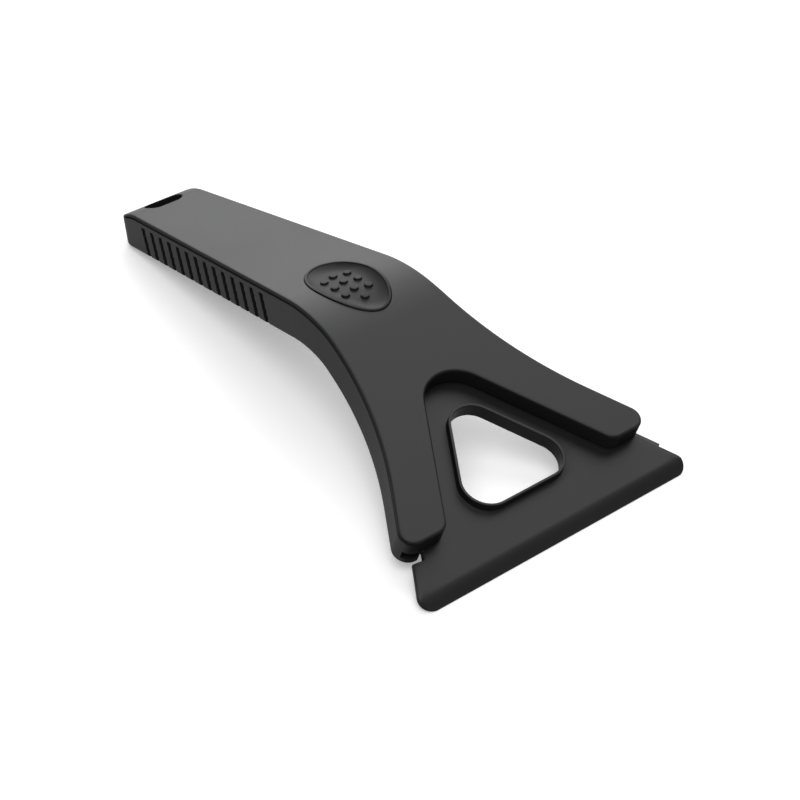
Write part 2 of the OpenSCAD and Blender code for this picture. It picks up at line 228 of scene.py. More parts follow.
    def at_rest(self, points: Array) -> Array:
        """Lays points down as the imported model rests: shifted to the front edge, tilted, and centred.

        Args:
            points: points in the plate's frame, in millimetres.

        Returns:
            The points at rest, in metres.
        """
        tilt, length = self.rest_numbers()
        y = points[..., 1] + self.plate_reach
        z = points[..., 2] + self.plate_t
        back = y * math.cos(tilt) - z * math.sin(tilt) - length / 2
        return MM * np.stack([points[..., 0], back, y * math.sin(tilt) + z * math.cos(tilt)], axis=-1)


TOOL = Shape()
COS_SIDE = math.cos(math.radians(TOOL.side_angle))
SIN_SIDE = math.sin(math.radians(TOOL.side_angle))


# Grids and meshes


def ease(t: Array) -> Array:
    """Smooth step from 0 to 1: 3 t squared less 2 t cubed, held outside."""
    t = np.clip(t, 0, 1)
    return t * t * (3 - 2 * t)


def blend_rows(start: Array, end: Array, shares: Sequence[float]) -> Array:
    """Grid of straight lines from one row of points to another.

    Row k is (1 - t) start + t end, with t the k-th share.

    Args:
        start: first row of points.
        end: last row, as long.
        shares: places of the rows, from 0 to 1.

    Returns:
        Array of shape (rows, columns, dimensions).
    """
    t = np.asarray(shares, float)[:, None, None]
    return (1 - t) * start[None] + t * end[None]


def arc(centre: Sequence[float], r: float, start: float, end: float, count: int) -> tuple[Array, Array]:
    """Points of a circle's arc: its centre plus r times the unit vectors of evenly spaced angles.

    Args:
        centre: centre of the circle.
        r: its radius; a negative one gives a hollow curve with the same vectors.
        start: first angle, in degrees.
        end: last angle, in degrees.
        count: number of points.

    Returns:
        The points and their unit vectors.
    """
    a = np.radians(np.linspace(start, end, count))
    out = np.stack([np.cos(a), np.sin(a)], axis=-1)
    return np.asarray(centre) + r * out, out


def around(count: int) -> Array:
    """Evenly spaced angles round a circle, in radians."""
    return np.linspace(0, 2 * np.pi, count, endpoint=False)


def meet(a1: float, d1: float, a2: float, d2: float) -> Array:
    """Crossing of two lines, each given by its normal's angle in degrees and its distance from the origin."""
    normals = np.array([[math.cos(math.radians(a)), math.sin(math.radians(a))] for a in (a1, a2)])
    return np.linalg.solve(normals, np.array([d1, d2]))


def fillet(r: float, steps: int = 6) -> tuple[Array, Array]:
    """Quarter round of an outer edge: how far each point is drawn in, and how far it lies down."""
    a = np.radians(np.linspace(0, 90, steps + 1))
    return r * (1 - np.sin(a)), r * (1 - np.cos(a))


def quads_of(index: Array) -> Array:
    """Corners of the quads of a grid of point numbers, four to a row."""
    corners = [index[:-1, :-1], index[:-1, 1:], index[1:, 1:], index[1:, :-1]]
    return np.stack(corners, axis=-1).reshape(-1, 4)


def put_in(name: str, data: Any) -> bpy.types.Object:
    """Makes an object and links it to the scene."""
    thing = bpy.data.objects.new(name, data)
    bpy.context.scene.collection.objects.link(thing)
    return thing


class Sheets:
    """Collects grids of points and turns them into one welded, closed, outward mesh.

    Points in one cell of WELD millimetres become one; WELD_SHIFT keeps round numbers off the cells' borders.
    DISC_RINGS are the sizes of a disc's rings, as shares of its loop.
    """

    WELD = 1e-4
    WELD_SHIFT = 0.37
    DISC_RINGS = (1.0, 0.9, 0.75, 0.55, 0.35, 0.15, 0.0)

    def __init__(self) -> None:
        """Starts with no grid."""
        self.points: list[Array] = []
        self.quads: list[Array] = []
        self.count = 0

    def grid(self, rows: Array, wrap: bool = False) -> None:
        """Adds a grid of points as quads.

        Args:
            rows: array of shape (rows, columns, 3), in the plate's frame.
            wrap: whether each row closes on itself.
        """
        r, c = rows.shape[:2]
        index = np.arange(r * c).reshape(r, c) + self.count
        if wrap:
            index = np.concatenate([index, index[:, :1]], axis=1)
        self.points.append(rows.reshape(-1, 3))
        self.quads.append(quads_of(index))
        self.count += r * c

    def both(self, rows: Array) -> None:
        """Adds a grid of the right half and its mirror image."""
        self.grid(rows)
        self.grid(rows * MIRROR)

    def disc(self, loop: Array) -> None:
        """Closes a loop that bulges outwards with rings drawn in towards its mean point.

        Args:
            loop: points of the loop.
        """
        t = np.array(self.DISC_RINGS)[:, None, None]
        middle = loop.mean(axis=0)
        self.grid(middle + (loop - middle)[None] * t, wrap=True)

    def mesh(self, name: str, sharp: float = 30.0) -> bpy.types.Mesh:
        """Welds the grids into a mesh with outward faces.

        Args:
            name: name of the mesh.
            sharp: angle in degrees from which an edge is shaded sharp.

        Returns:
            The mesh, in metres, at rest.
        """
        points = np.concatenate(self.points)
        cells = np.round(points / self.WELD + self.WELD_SHIFT).astype(np.int64)
        _, first, back = np.unique(cells, axis=0, return_index=True, return_inverse=True)
        quads = back.reshape(-1)[np.concatenate(self.quads)]
        real = (quads != np.roll(quads, -1, axis=1)).sum(axis=1) >= 3
        faces = [tuple(dict.fromkeys(quad)) for quad in quads[real].tolist()]
        mesh = bpy.data.meshes.new(name)
        mesh.from_pydata(TOOL.at_rest(points[first]).tolist(), [], [face for face in faces if len(face) > 2])
        mesh.validate(clean_customdata=False)
        work = bmesh.new()
        work.from_mesh(mesh)
        bmesh.ops.delete(work, geom=[vert for vert in work.verts if not vert.link_faces], context="VERTS")
        bmesh.ops.recalc_face_normals(work, faces=work.faces)
        loose = sum(len(edge.link_faces) != 2 for edge in work.edges)
        volume = work.calc_volume(signed=True) / MM**3
        work.to_mesh(mesh)
        work.free()
        mesh.shade_smooth()
        mesh.set_sharp_from_angle(angle=math.radians(sharp))
        mesh.update()
        log.info("%s: %d faces, %d open edges, %.0f cubic mm", name, len(mesh.polygons), loose, volume)
        return mesh


# Plan of the forked tool


@dataclass
class Outline:
    """Right half of the forked plan, from the heel's middle round the arm to the head of the gap.

    It is a chain of straight lines and arcs with their outward normals, so that a point drawn in by an inset
    is the base point less the inset times its normal. Places along it have names, the marks. COUNTS gives the
    points of the stretches that have a fixed number. Ends that are less than SHARED apart are one point.

    Attributes:
        gap_reach: distance of the gap's sides from the origin.
        head_r: radius of the gap's head.
        inner_r: radius of an arm's inner corner.
        front_counts: points of the tip's arc, the front line and the inner corner's first half.
        spacing: distance between points along the grip's sides.
        front_u: place where the arms' patch starts.
        back_u: place where the heel's zone starts.
        open_angle: angle on the tip's arc where the plate's slot leaves the arm.
        skirt: width of the step where the inner corner starts, for sections that change there.
        base: points of the chain.
        normal: their outward normals.
        marks: index of each stretch's first point, by the stretch's name.
    """

    COUNTS = dict(heel=13, heel_corner=13, neck=6, flare=52, arm=20, tip=10, inner_b=6, gap=40, head=16)
    SHARED = 1e-6

    gap_reach: float
    head_r: float
    inner_r: float
    front_counts: tuple[int, int, int]
    spacing: float = 1.3
    front_u: float = 57.0
    back_u: float = 171.0
    open_angle: float = -24.0
    skirt: float = 0.03
    base: Array = field(init=False)
    normal: Array = field(init=False)
    marks: dict[str, int] = field(init=False)

    def __post_init__(self) -> None:
        """Lays the chain: heel, grip, neck, flare, arm, tip, front, inner corner, gap and head."""
        t = TOOL
        taper = math.radians(t.grip_taper)
        side_n = np.array([math.cos(taper), math.sin(taper)])
        arm_n = np.array([COS_SIDE, SIN_SIDE])
        heel_y = t.heel_u - t.heel_r
        heel = np.array([(t.grip_side - t.heel_r - math.sin(taper) * heel_y) / math.cos(taper), heel_y])
        flare = meet(t.side_angle, t.arm_reach + t.flare_r, t.grip_taper, t.grip_side + t.flare_r)
        tip = self.corner_centre(t.arm_reach - t.tip_r, t.tip_r)
        corner = self.corner_centre(self.gap_reach + self.inner_r, self.inner_r)
        head = np.array([0.0, 2 * (self.gap_reach - self.head_r)])
        cut = math.degrees(math.asin((flare[1] - self.front_u) / t.flare_r))
        heel_side, back = heel + t.heel_r * side_n, np.array([t.half_at(self.back_u), self.back_u])
        grip_end = flare - t.flare_r * side_n
        counts = {**self.COUNTS, **dict(zip(("open", "front", "inner_a"), self.front_counts))}
        chain: list[tuple[str, Array, Array]] = []

        def line(name: str, start: Array, end: Array, n: Sequence[float]) -> None:
            """Adds a straight stretch with one normal, at the grip's spacing if it has no count."""
            count = counts.get(name) or int(np.linalg.norm(end - start) / self.spacing) + 2
            chain.append((name, np.linspace(start, end, count), np.tile(np.asarray(n, float), (count, 1))))

        def curve(name: str, centre: Array, r: float, start: float, end: float, sign: float = 1.0) -> None:
            """Adds an arc; with sign -1 its normals point to its centre."""
            p, out = arc(centre, r, start, end, counts[name])
            chain.append((name, p, sign * out))

        line("heel", np.array([0.0, t.heel_u]), np.array([heel[0], t.heel_u]), (0, 1))
        curve("heel_corner", heel, t.heel_r, 90, t.grip_taper)
        line("heel_side", heel_side, back, side_n)
        line("grip", back, grip_end, side_n)
        curve("neck", flare, -t.flare_r, t.grip_taper, cut)
        curve("flare", flare, -t.flare_r, cut, t.side_angle)
        line("arm", flare - t.flare_r * arm_n, tip + t.tip_r * arm_n, arm_n)
        curve("tip", tip, t.tip_r, t.side_angle, self.open_angle)
        curve("open", tip, t.tip_r, self.open_angle, -90)
        line("front", tip - [0, t.tip_r], corner - [-self.skirt, self.inner_r], (0, -1))
        curve("inner_a", corner, self.inner_r, 270, 240)
        curve("inner_b", corner, self.inner_r, 240, 180 + t.side_angle)
        line("gap", corner - self.inner_r * arm_n, head + self.head_r * arm_n, -arm_n)
        curve("head", head, self.head_r, t.side_angle, 90, -1.0)
        self.join(chain)

    @staticmethod
    def corner_centre(distance: float, r: float) -> Array:
        """Centre of a corner's arc that touches the arms' front line and a side line."""
        y = r - TOOL.arm_front
        return np.array([(distance - SIN_SIDE * y) / COS_SIDE, y])

    def join(self, chain: list[tuple[str, Array, Array]]) -> None:
        """Joins the stretches, with the points that two of them share once.

        Args:
            chain: name, points and normals of each stretch.
        """
        base, normal, marks, count = [], [], {}, 0
        for name, p, n in chain:
            shared = count > 0 and np.linalg.norm(base[-1][-1] - p[0]) < self.SHARED
            marks[name] = count - 1 if shared else count
            base.append(p[1:] if shared else p)
            normal.append(n[1:] if shared else n)
            count += len(base[-1])
        self.base, self.normal, self.marks = np.concatenate(base), np.concatenate(normal), marks

    def drawn_in(self, inset: Measure) -> Array:
        """The half chain less inset times the normals, with its two ends on the centre line.

        Args:
            inset: how far each point is drawn in.

        Returns:
            Plan points.
        """
        p = self.base - np.broadcast_to(np.asarray(inset, float), (len(self.base),))[:, None] * self.normal
        p[0, 0] = p[-1, 0] = 0.0
        return p

    def at(self, inset: Measure, v: Measure) -> Array:
        """The half chain drawn in, at heights of its own."""
        return TOOL.above(self.drawn_in(inset), v)

    def row(self, inset: Measure, level: Level, lift: Measure = 0.0) -> Array:
        """The half chain drawn in, on a level that is read at the drawn-in points.

        Args:
            inset: how far each point is drawn in.
            level: height over the top as a function of the place along the tool.
            lift: added to that height, per point.

        Returns:
            Points in the plate's frame.
        """
        p = self.drawn_in(inset)
        return TOOL.above(p, level(p[:, 1]) + lift)

    def rows(self, insets: Sequence[Measure], level: Level, lifts: Sequence[Measure]) -> Array:
        """Several rows as one grid."""
        return np.stack([self.row(inset, level, lift) for inset, lift in zip(insets, lifts)])

    def share(self, start: str, end: str) -> Array:
        """A number per point: 0 before one mark, 1 after another, with a smooth step between them."""
        k = np.arange(len(self.base), dtype=float)
        return ease((k - self.marks[start]) / (self.marks[end] - self.marks[start]))


class Hole:
    """A closed curve in the plan that a face goes round, with the place of its middle."""

    centre: float

    def loop(self, toward: Array, grow: float) -> Array:
        """Points of the curve, grown by a margin, in the directions of given points."""
        raise NotImplementedError


@dataclass(frozen=True)
class Egg(Hole):
    """An oval that is a little broader at its rear: x = w cos a (1 + skew sin a), u = centre + l sin a."""

    centre: float = TOOL.pad_u
    half_l: float = 17.0
    half_w: float = 11.25
    skew: float = 0.1

    def at(self, a: Array, grow: float) -> Array:
        """Points of the oval at given angles in radians, grown by a margin."""
        x = (self.half_w + grow) * np.cos(a) * (1 + self.skew * np.sin(a))
        return np.stack([x, self.centre + (self.half_l + grow) * np.sin(a)], axis=-1)

    def loop(self, toward: Array, grow: float) -> Array:
        """Points of the oval whose angles match those of given points."""
        angle = np.arctan2((toward[:, 1] - self.centre) / self.half_l, toward[:, 0] / self.half_w)
        return self.at(angle, grow)


@dataclass(frozen=True)
class Stadium(Hole):
    """A slot with round ends, across the tool. LEAST keeps a ray along it from a division by zero."""

    LEAST = 1e-9

    centre: float = TOOL.slot_u
    half_w: float = 7.2
    r: float = 4.0

    def loop(self, toward: Array, grow: float) -> Array:
        """Points where rays from the middle leave the slot, on a flat side or on an end's circle.

        Args:
            toward: points that the rays go through.
            grow: margin by which the slot is grown.

        Returns:
            Plan points, one for each ray.
        """
        d = toward - np.array([0.0, self.centre])
        d = d / np.linalg.norm(d, axis=1, keepdims=True)
        r, half = self.r + grow, self.half_w - self.r
        across = np.abs(d[:, 0])
        flat = r / np.maximum(np.abs(d[:, 1]), self.LEAST)
        end = across * half + np.sqrt(np.maximum(r * r - (half * d[:, 1]) ** 2, 0))
        return d * np.where(flat * across <= half, flat, end)[:, None] + np.array([0.0, self.centre])


@dataclass
class Face:
    """A face over the whole plan: heel zone, grip, pad zone and two arms, each a grid.

    The grip is a plain grid from side to side. A zone with a hole is a grid of straight lines from the hole
    to the zone's edge, in RINGS rows from one that lies NEAR the hole. An arm is a patch between four edges.

    Attributes:
        outline: the plan that it fills.
        inset: how far its edge is drawn in, per point of the half chain.
        level: its height over the top as a function of the place along the tool.
        slot_grow: how far the hanging slot's hole is grown.
        pad_grow: how far the thumb pad's hole is grown, or None where the face has none.
        pad_back_u: place where the pad's zone ends.
    """

    NEAR = 0.4
    RINGS = 12

    outline: Outline
    inset: Measure
    level: Level
    slot_grow: float
    pad_grow: Optional[float] = None
    pad_back_u: float = 100.0

    @property
    def across(self) -> int:
        """Columns from side to side: twice the steps of the arms' front chain."""
        return 2 * (self.outline.marks["inner_b"] - self.outline.marks["open"])

    @property
    def pad_mark(self) -> int:
        """Index of the chain's point where the pad's zone ends."""
        return int(np.argmin(np.abs(self.outline.base[: self.outline.marks["flare"], 1] - self.pad_back_u)))

    def lifted(self, plan: Array) -> Array:
        """Points of the plan on the face's level."""
        return TOOL.above(plan, self.level(plan[..., 1]))

    def bar(self, point: Array) -> Array:
        """Line across the tool from a point of the right side to its mirror image."""
        x = np.linspace(1, -1, self.across + 1) * point[0]
        return np.stack([x, np.full_like(x, point[1])], axis=-1)

    def heel_loop(self, edge: Array) -> Array:
        """Edge of the heel's zone."""
        heel = edge[: self.outline.marks["grip"] + 1]
        return np.concatenate([heel, self.bar(heel[-1])[1:-1], (heel * MIRROR_PLAN)[:0:-1]])

    def pad_loop(self, edge: Array) -> Array:
        """Edge of the pad's zone."""
        side = edge[self.pad_mark : self.outline.marks["flare"] + 1]
        front, back = self.bar(side[-1])[1:-1], self.bar(side[0])[::-1][1:-1]
        return np.concatenate([side, front, (side * MIRROR_PLAN)[::-1], back])

    def hole_edge(self, hole: Hole, grow: float) -> Array:
        """Edge of one of the two holes in the plan, the same directions for every inset."""
        base = self.outline.drawn_in(0)
        return hole.loop(self.pad_loop(base) if isinstance(hole, Egg) else self.heel_loop(base), grow)

    def ringed(self, sheets: Sheets, edge: Array, hole: Hole, grow: float) -> None:
        """Adds the grid between a zone's edge and its hole, with one row close to the hole."""
        inner, near = self.hole_edge(hole, grow), self.hole_edge(hole, grow + self.NEAR)
        sheets.grid(self.lifted(np.stack([inner, near])), wrap=True)
        sheets.grid(self.lifted(blend_rows(near, edge, np.linspace(0, 1, self.RINGS))), wrap=True)

    def arm_patch(self, edge: Array) -> Array:
        """Patch of the right arm between its four edges.

        It is the lines between its long sides plus the lines between its short ones, less the lines between
        its corners.

        Args:
            edge: the half chain, drawn in.

        Returns:
            Plan points of shape (rows along the arm, columns across it, 2).
        """
        m = self.outline.marks
        outer, gap = edge[m["flare"] : m["open"] + 1], edge[m["inner_b"] :]
        front = edge[m["open"] : m["inner_b"] + 1][::-1]
        middle_start = np.array([0.0, outer[0, 1]])
        middle = np.linspace(middle_start, gap[-1], len(outer) - len(gap) + 1)
        inner = np.concatenate([middle[:-1], gap[::-1]])
        t = np.linspace(0, 1, len(front))[None, :, None]
        s = np.linspace(0, 1, len(outer))[:, None, None]
        head = ((1 - t) * middle_start + t * outer[0])[0]
        corners = (1 - s) * ((1 - t) * inner[0] + t * outer[0]) + s * ((1 - t) * inner[-1] + t * outer[-1])
        lengthways = (1 - t) * inner[:, None] + t * outer[:, None]
        return lengthways + (1 - s) * head[None] + s * front[None] - corners

    def add_to(self, sheets: Sheets) -> None:
        """Adds the face's grids.

        Args:
            sheets: where they go.
        """
        edge = self.outline.drawn_in(self.inset)
        self.ringed(sheets, self.heel_loop(edge), Stadium(), self.slot_grow)
        grip_end = self.outline.marks["flare"]
        if self.pad_grow is not None:
            grip_end = self.pad_mark
            self.ringed(sheets, self.pad_loop(edge), Egg(), self.pad_grow)
        grip = edge[self.outline.marks["grip"] : grip_end + 1]
        across = np.linspace(1, -1, self.across + 1)
        lengths = np.broadcast_to(grip[:, 1:], (len(grip), len(across)))
        plan = np.stack([grip[:, :1] * across, lengths], axis=-1)
        sheets.grid(self.lifted(plan))
        sheets.both(self.lifted(self.arm_patch(edge)))


def under_top(depth: float) -> Level:
    """Level at a depth under the top, rolled down with it at the heel."""
    return lambda u: -TOOL.roll_drop(u) - depth


def over_bottom(height: float) -> Level:
    """Level at a height over the underside."""
    return lambda u: height - TOOL.depth_at(u)


def under_flat(depth: float) -> Level:
    """Level at a depth under the unrolled top."""
    return lambda u: np.full_like(u, -depth)


def add_wall(sheets: Sheets, face: Face, hole: Hole, rows: Sequence[tuple[float, Level]]) -> None:
    """Adds the wall of a hole through rows, each with how far the hole is grown and its level."""
    plans = [(face.hole_edge(hole, grow), level) for grow, level in rows]
    sheets.grid(np.stack([TOOL.above(p, level(p[:, 1])) for p, level in plans]), wrap=True)


def add_floor(sheets: Sheets, face: Face, hole: Hole, grow: float, level: Level) -> None:
    """Closes a hole with rings drawn in towards its middle, each on the level.

    Args:
        sheets: where the grid goes.
        face: the face with the hole.
        hole: the hole.
        grow: how far it is grown.
        level: height of the floor.
    """
    edge = face.hole_edge(hole, grow)
    middle = np.array([0.0, hole.centre])
    rings = [middle + (edge - middle) * t for t in FLOOR_RINGS]
    sheets.grid(np.stack([TOOL.above(p, level(p[:, 1])) for p in rings]), wrap=True)


# Finishes


class PaintedShade(Enum):
    """Which faces of a finish get painted shade, through a copy of its shader that mirrors less than the
    rest.
    """

    NONE = 0
    WALLS = 1
    FRONT = 2


@dataclass(frozen=True)
class Finish:
    """Numbers of one moulded or metal finish, with colours in linear light and scales per metre.

    Attributes:
        colour: base colour.
        roughness: mean roughness.
        vary: how far the roughness drifts.
        grain: height of the moulded grain, in metres.
        grain_scale: scale of that grain.
        dust: how much pale dust lies on it.
        scuff: how strong the fine scuffs are.
        metallic: 1 for metal.
        specular: level of the surface's mirror-like share, 0.5 for plain plastic.
        painted_shade: which faces get painted shade, by mirroring less than the rest.
        shade_specular: the specular level of those shaded faces.
    """

    colour: tuple[float, float, float]
    roughness: float
    vary: float = 0.05
    grain: float = 0.000012
    grain_scale: float = 2600.0
    dust: float = 0.008
    scuff: float = 0.03
    metallic: float = 0.0
    specular: float = 0.5
    painted_shade: PaintedShade = PaintedShade.NONE
    shade_specular: float = 0.05


class Look(Enum):
    """The tool's finishes, one for each material slot of the record."""

    # Painted shade: the plate and cover mirror less on steep walls, and the shell on faces that look
    # forwards.
    PLATE = ("plate_plastic", Finish((0.0085, 0.0085, 0.009), 0.4, specular=0.35, painted_shade=PaintedShade.WALLS))
    STRIP = ("soft_strip", Finish((0.032, 0.032, 0.033), 0.62, grain=0.00001, scuff=0.02))
    COVER = ("cover_plastic", Finish((0.01, 0.01, 0.0105), 0.44, specular=0.35, painted_shade=PaintedShade.WALLS))
    SHELL = ("shell_plastic", Finish((0.006, 0.006, 0.0063), 0.66, specular=0.3, painted_shade=PaintedShade.FRONT))
    PAD = ("pad_plastic", Finish((0.008, 0.008, 0.0084), 0.46, grain=0.000009, specular=0.17))
    SCREW = ("screw_steel", Finish((0.46, 0.46, 0.47), 0.3, grain=0.000004, metallic=1.0))

    @property
    def slot(self) -> str:
        """Name of the record's material slot."""
        return self.value[0]

    @property
    def finish(self) -> Finish:
        """Numbers of the finish."""
        return self.value[1]


@dataclass(frozen=True)
class Streaks:
    """Fine scuffs that run one way, as noise that is stretched along a turned axis.

    Attributes:
        scale: scales of the noise along the three axes, per metre.
        turn: angle about the vertical, in degrees.
        band: noise at which a scuff sets in and at which it is full.
    """

    scale: tuple[float, float, float]
    turn: float
    band: tuple[float, float]


@dataclass(frozen=True)
class Patterns:
    """Numbers of the patterns that all finishes share, with scales per metre.

    Attributes:
        grain_detail: detail of the moulded grain.
        rough_noise: roughness of the noise in grain and scuffs.
        drift: scale of the slow drift of tone and sheen.
        drift_band: drift over which the tone goes from dark to pale.
        flow: scale of the shallow waves of the moulding.
        flow_share: height of the waves, as a share of the grain's.
        tones: darkest and palest tone, as shares of the colour.
        grain_sheen: how far the grain changes the roughness.
        streaks: the two sets of scuffs, which cross.
        worn_band: drift over which the scuffs come in.
        worn_share: depth of the scuffs, as a share of the grain's height.
        specks: scale of the dust's specks.
        speck_band: noise over which a speck comes in.
        speck_flow: waves over which the specks come in.
        dust_colour: colour of the dust.
        scuff_dust: dust in the scuffs, as a share of the specks'.
    """

    grain_detail: float = 3.0
    rough_noise: float = 0.6
    drift: float = 38.0
    drift_band: tuple[float, float] = (0.3, 0.7)
    flow: float = 420.0
    flow_share: float = 0.6
    tones: tuple[float, float] = (0.88, 1.14)
    grain_sheen: float = 0.12
    streaks: tuple[Streaks, Streaks] = (
        Streaks((2400.0, 90.0, 700.0), 24.0, (0.66, 0.8)),
        Streaks((90.0, 2100.0, 600.0), -17.0, (0.68, 0.8)),
    )
    worn_band: tuple[float, float] = (0.35, 0.75)
    worn_share: float = 0.2
    specks: float = 3300.0
    speck_band: tuple[float, float] = (0.74, 0.82)
    speck_flow: tuple[float, float] = (0.4, 0.7)
    dust_colour: tuple[float, float, float] = (0.32, 0.31, 0.29)
    scuff_dust: float = 0.5


Number = Union["Signal", float, int]


class Signal:
    """A shader value that adds, subtracts and multiplies by making nodes."""

    def __init__(self, graph: "Graph", socket: bpy.types.NodeSocket) -> None:
        """Wraps a socket.

        Args:
            graph: the graph that makes nodes.
            socket: output that holds the value.
        """
        self.graph = graph
        self.socket = socket

    def maths(self, operation: str, *values: Number, clamp: bool = False) -> "Signal":
        """Value of a maths node with these inputs."""
        inputs = dict(enumerate(values))
        return self.graph.add("ShaderNodeMath", "Value", inputs, operation=operation, use_clamp=clamp)

    def __add__(self, other: Number) -> "Signal":
        """Sum."""
        return self.maths("ADD", self, other)

    def __radd__(self, other: Number) -> "Signal":
        """Sum with a number in front."""
        return self.maths("ADD", other, self)

    def __sub__(self, other: Number) -> "Signal":
        """Difference."""
        return self.maths("SUBTRACT", self, other)

    def __rsub__(self, other: Number) -> "Signal":
        """Difference with a number in front."""
        return self.maths("SUBTRACT", other, self)

    def __mul__(self, other: Number) -> "Signal":
        """Product."""
        return self.maths("MULTIPLY", self, other)

    def __rmul__(self, other: Number) -> "Signal":
        """Product with a number in front."""
        return self.maths("MULTIPLY", other, self)

    def __neg__(self) -> "Signal":
        """The value with its sign changed."""
        return 0.0 - self

    def __abs__(self) -> "Signal":
        """The value without its sign."""
        return self.maths("ABSOLUTE", self)

    def over(self, low: float, high: float) -> "Signal":
        """How far the value lies from low to high, held between 0 and 1."""
        return self.maths("DIVIDE", self - low, high - low, clamp=True)


class Graph:
    """Node tree of one material, with its principled shader.

    The sockets of a node that mixes colours share their names with its sockets for numbers, so they are
    counted: its share, its two colours and its result. SHADE_FACING_BAND is the part of a normal over which
    a face starts to get painted shade, as one that mirrors less.
    """

    MIX_SHARE, MIX_FROM, MIX_TO, MIX_RESULT = 0, 6, 7, 2
    SHADE_FACING_BAND = (0.35, 0.75)
    ALIKE = ("Base Color", "Roughness", "Normal")

    def __init__(self, name: str) -> None:
        """Makes a material with an empty tree, a principled shader and an output.

        Args:
            name: name of the material.
        """
        self.material = bpy.data.materials.new(name)
        self.material.use_nodes = True
        self.tree = self.material.node_tree
        self.tree.nodes.clear()
        self.shader = self.tree.nodes.new("ShaderNodeBsdfPrincipled")
        self.output = self.tree.nodes.new("ShaderNodeOutputMaterial")
        self.tree.links.new(self.shader.outputs["BSDF"], self.output.inputs["Surface"])

    def feed(self, socket: bpy.types.NodeSocket, value: Any) -> None:
        """Links a signal to an input, or sets a constant on it.

        Args:
            socket: the input.
            value: what it gets.
        """
        if isinstance(value, Signal):
            self.tree.links.new(value.socket, socket)
        else:
            socket.default_value = value

    def dress(self, inputs: dict[str, Any]) -> None:
        """Feeds the principled shader's inputs, by their names."""
        for name, value in inputs.items():
            self.feed(self.shader.inputs[name], value)

    def add(
        self, kind: str, output: Union[str, int], inputs: dict[Union[str, int], Any], **settings: Any
    ) -> Signal:
        """Adds a node.

        Args:
            kind: Blender's name of the node.
            output: name or number of the output that is wanted.
            inputs: constants or signals by input.
            **settings: the node's own settings.

        Returns:
            The output as a signal.
        """
        node = self.tree.nodes.new(kind)
        for name, value in settings.items():
            setattr(node, name, value)
        for key, value in inputs.items():
            self.feed(node.inputs[key], value)
        return Signal(self, node.outputs[output])

    def place(self) -> Signal:
        """Object coordinates."""
        return self.add("ShaderNodeTexCoord", "Object", {})

    def painted_shade_share(self, painted_shade: PaintedShade) -> Signal:
        """How far a face gets painted shade, from the direction that it looks in.

        Args:
            painted_shade: steep walls, or faces that look forwards, which get the painted shade.

        Returns:
            One on those faces and zero elsewhere, with a soft step between them.
        """
        normal = self.add("ShaderNodeTexCoord", "Normal", {})
        if painted_shade is PaintedShade.WALLS:
            upward = self.add("ShaderNodeSeparateXYZ", "Z", {"Vector": normal})
            return 1.0 - abs(upward).over(*self.SHADE_FACING_BAND)
        backward = self.add("ShaderNodeSeparateXYZ", "Y", {"Vector": normal})
        return (-backward).over(*self.SHADE_FACING_BAND)

    def mix_painted_shade(self, share: Signal, specular: float) -> None:
        """Paints shade: mixes in a second shader that differs in its specular level alone and mirrors less.

        Args:
            share: how much of it there is.
            specular: its specular level.
        """
        inputs = {name: Signal(self, self.shader.inputs[name].links[0].from_socket) for name in self.ALIKE}
        painted_shade = self.add("ShaderNodeBsdfPrincipled", "BSDF", {**inputs, "Specular IOR Level": specular})
        full = Signal(self, self.shader.outputs["BSDF"])
        mixed = self.add("ShaderNodeMixShader", "Shader", {0: share, 1: full, 2: painted_shade})
        self.feed(self.output.inputs["Surface"], mixed)

    def noise(self, place: Signal, scale: float, detail: float = 2.0, rough: float = 0.5) -> Signal:
        """Noise from 0 to 1 at a scale per metre."""
        inputs = {"Vector": place, "Scale": scale, "Detail": detail, "Roughness": rough}
        return self.add("ShaderNodeTexNoise", "Fac", inputs)

    def scuffed(self, place: Signal, streaks: Streaks, rough: float) -> Signal:
        """Scuffs from 0 to 1: noise on coordinates that are turned about the vertical and scaled."""
        inputs = {"Vector": place, "Rotation": (0.0, 0.0, math.radians(streaks.turn)), "Scale": streaks.scale}
        turned = self.add("ShaderNodeMapping", "Vector", inputs)
        return self.noise(turned, 1.0, rough=rough).over(*streaks.band)

    def bump(self, height: Signal) -> Signal:
        """Normal from a height in metres."""
        return self.add("ShaderNodeBump", "Normal", {"Height": height, "Distance": 1.0, "Strength": 1.0})

    def tinted(self, share: Signal, low: Sequence[float], high: Sequence[float]) -> Signal:
        """Colour between two colours."""
        inputs = {self.MIX_SHARE: share, self.MIX_FROM: (*low, 1.0), self.MIX_TO: (*high, 1.0)}
        return self.add("ShaderNodeMix", self.MIX_RESULT, inputs, data_type="RGBA")


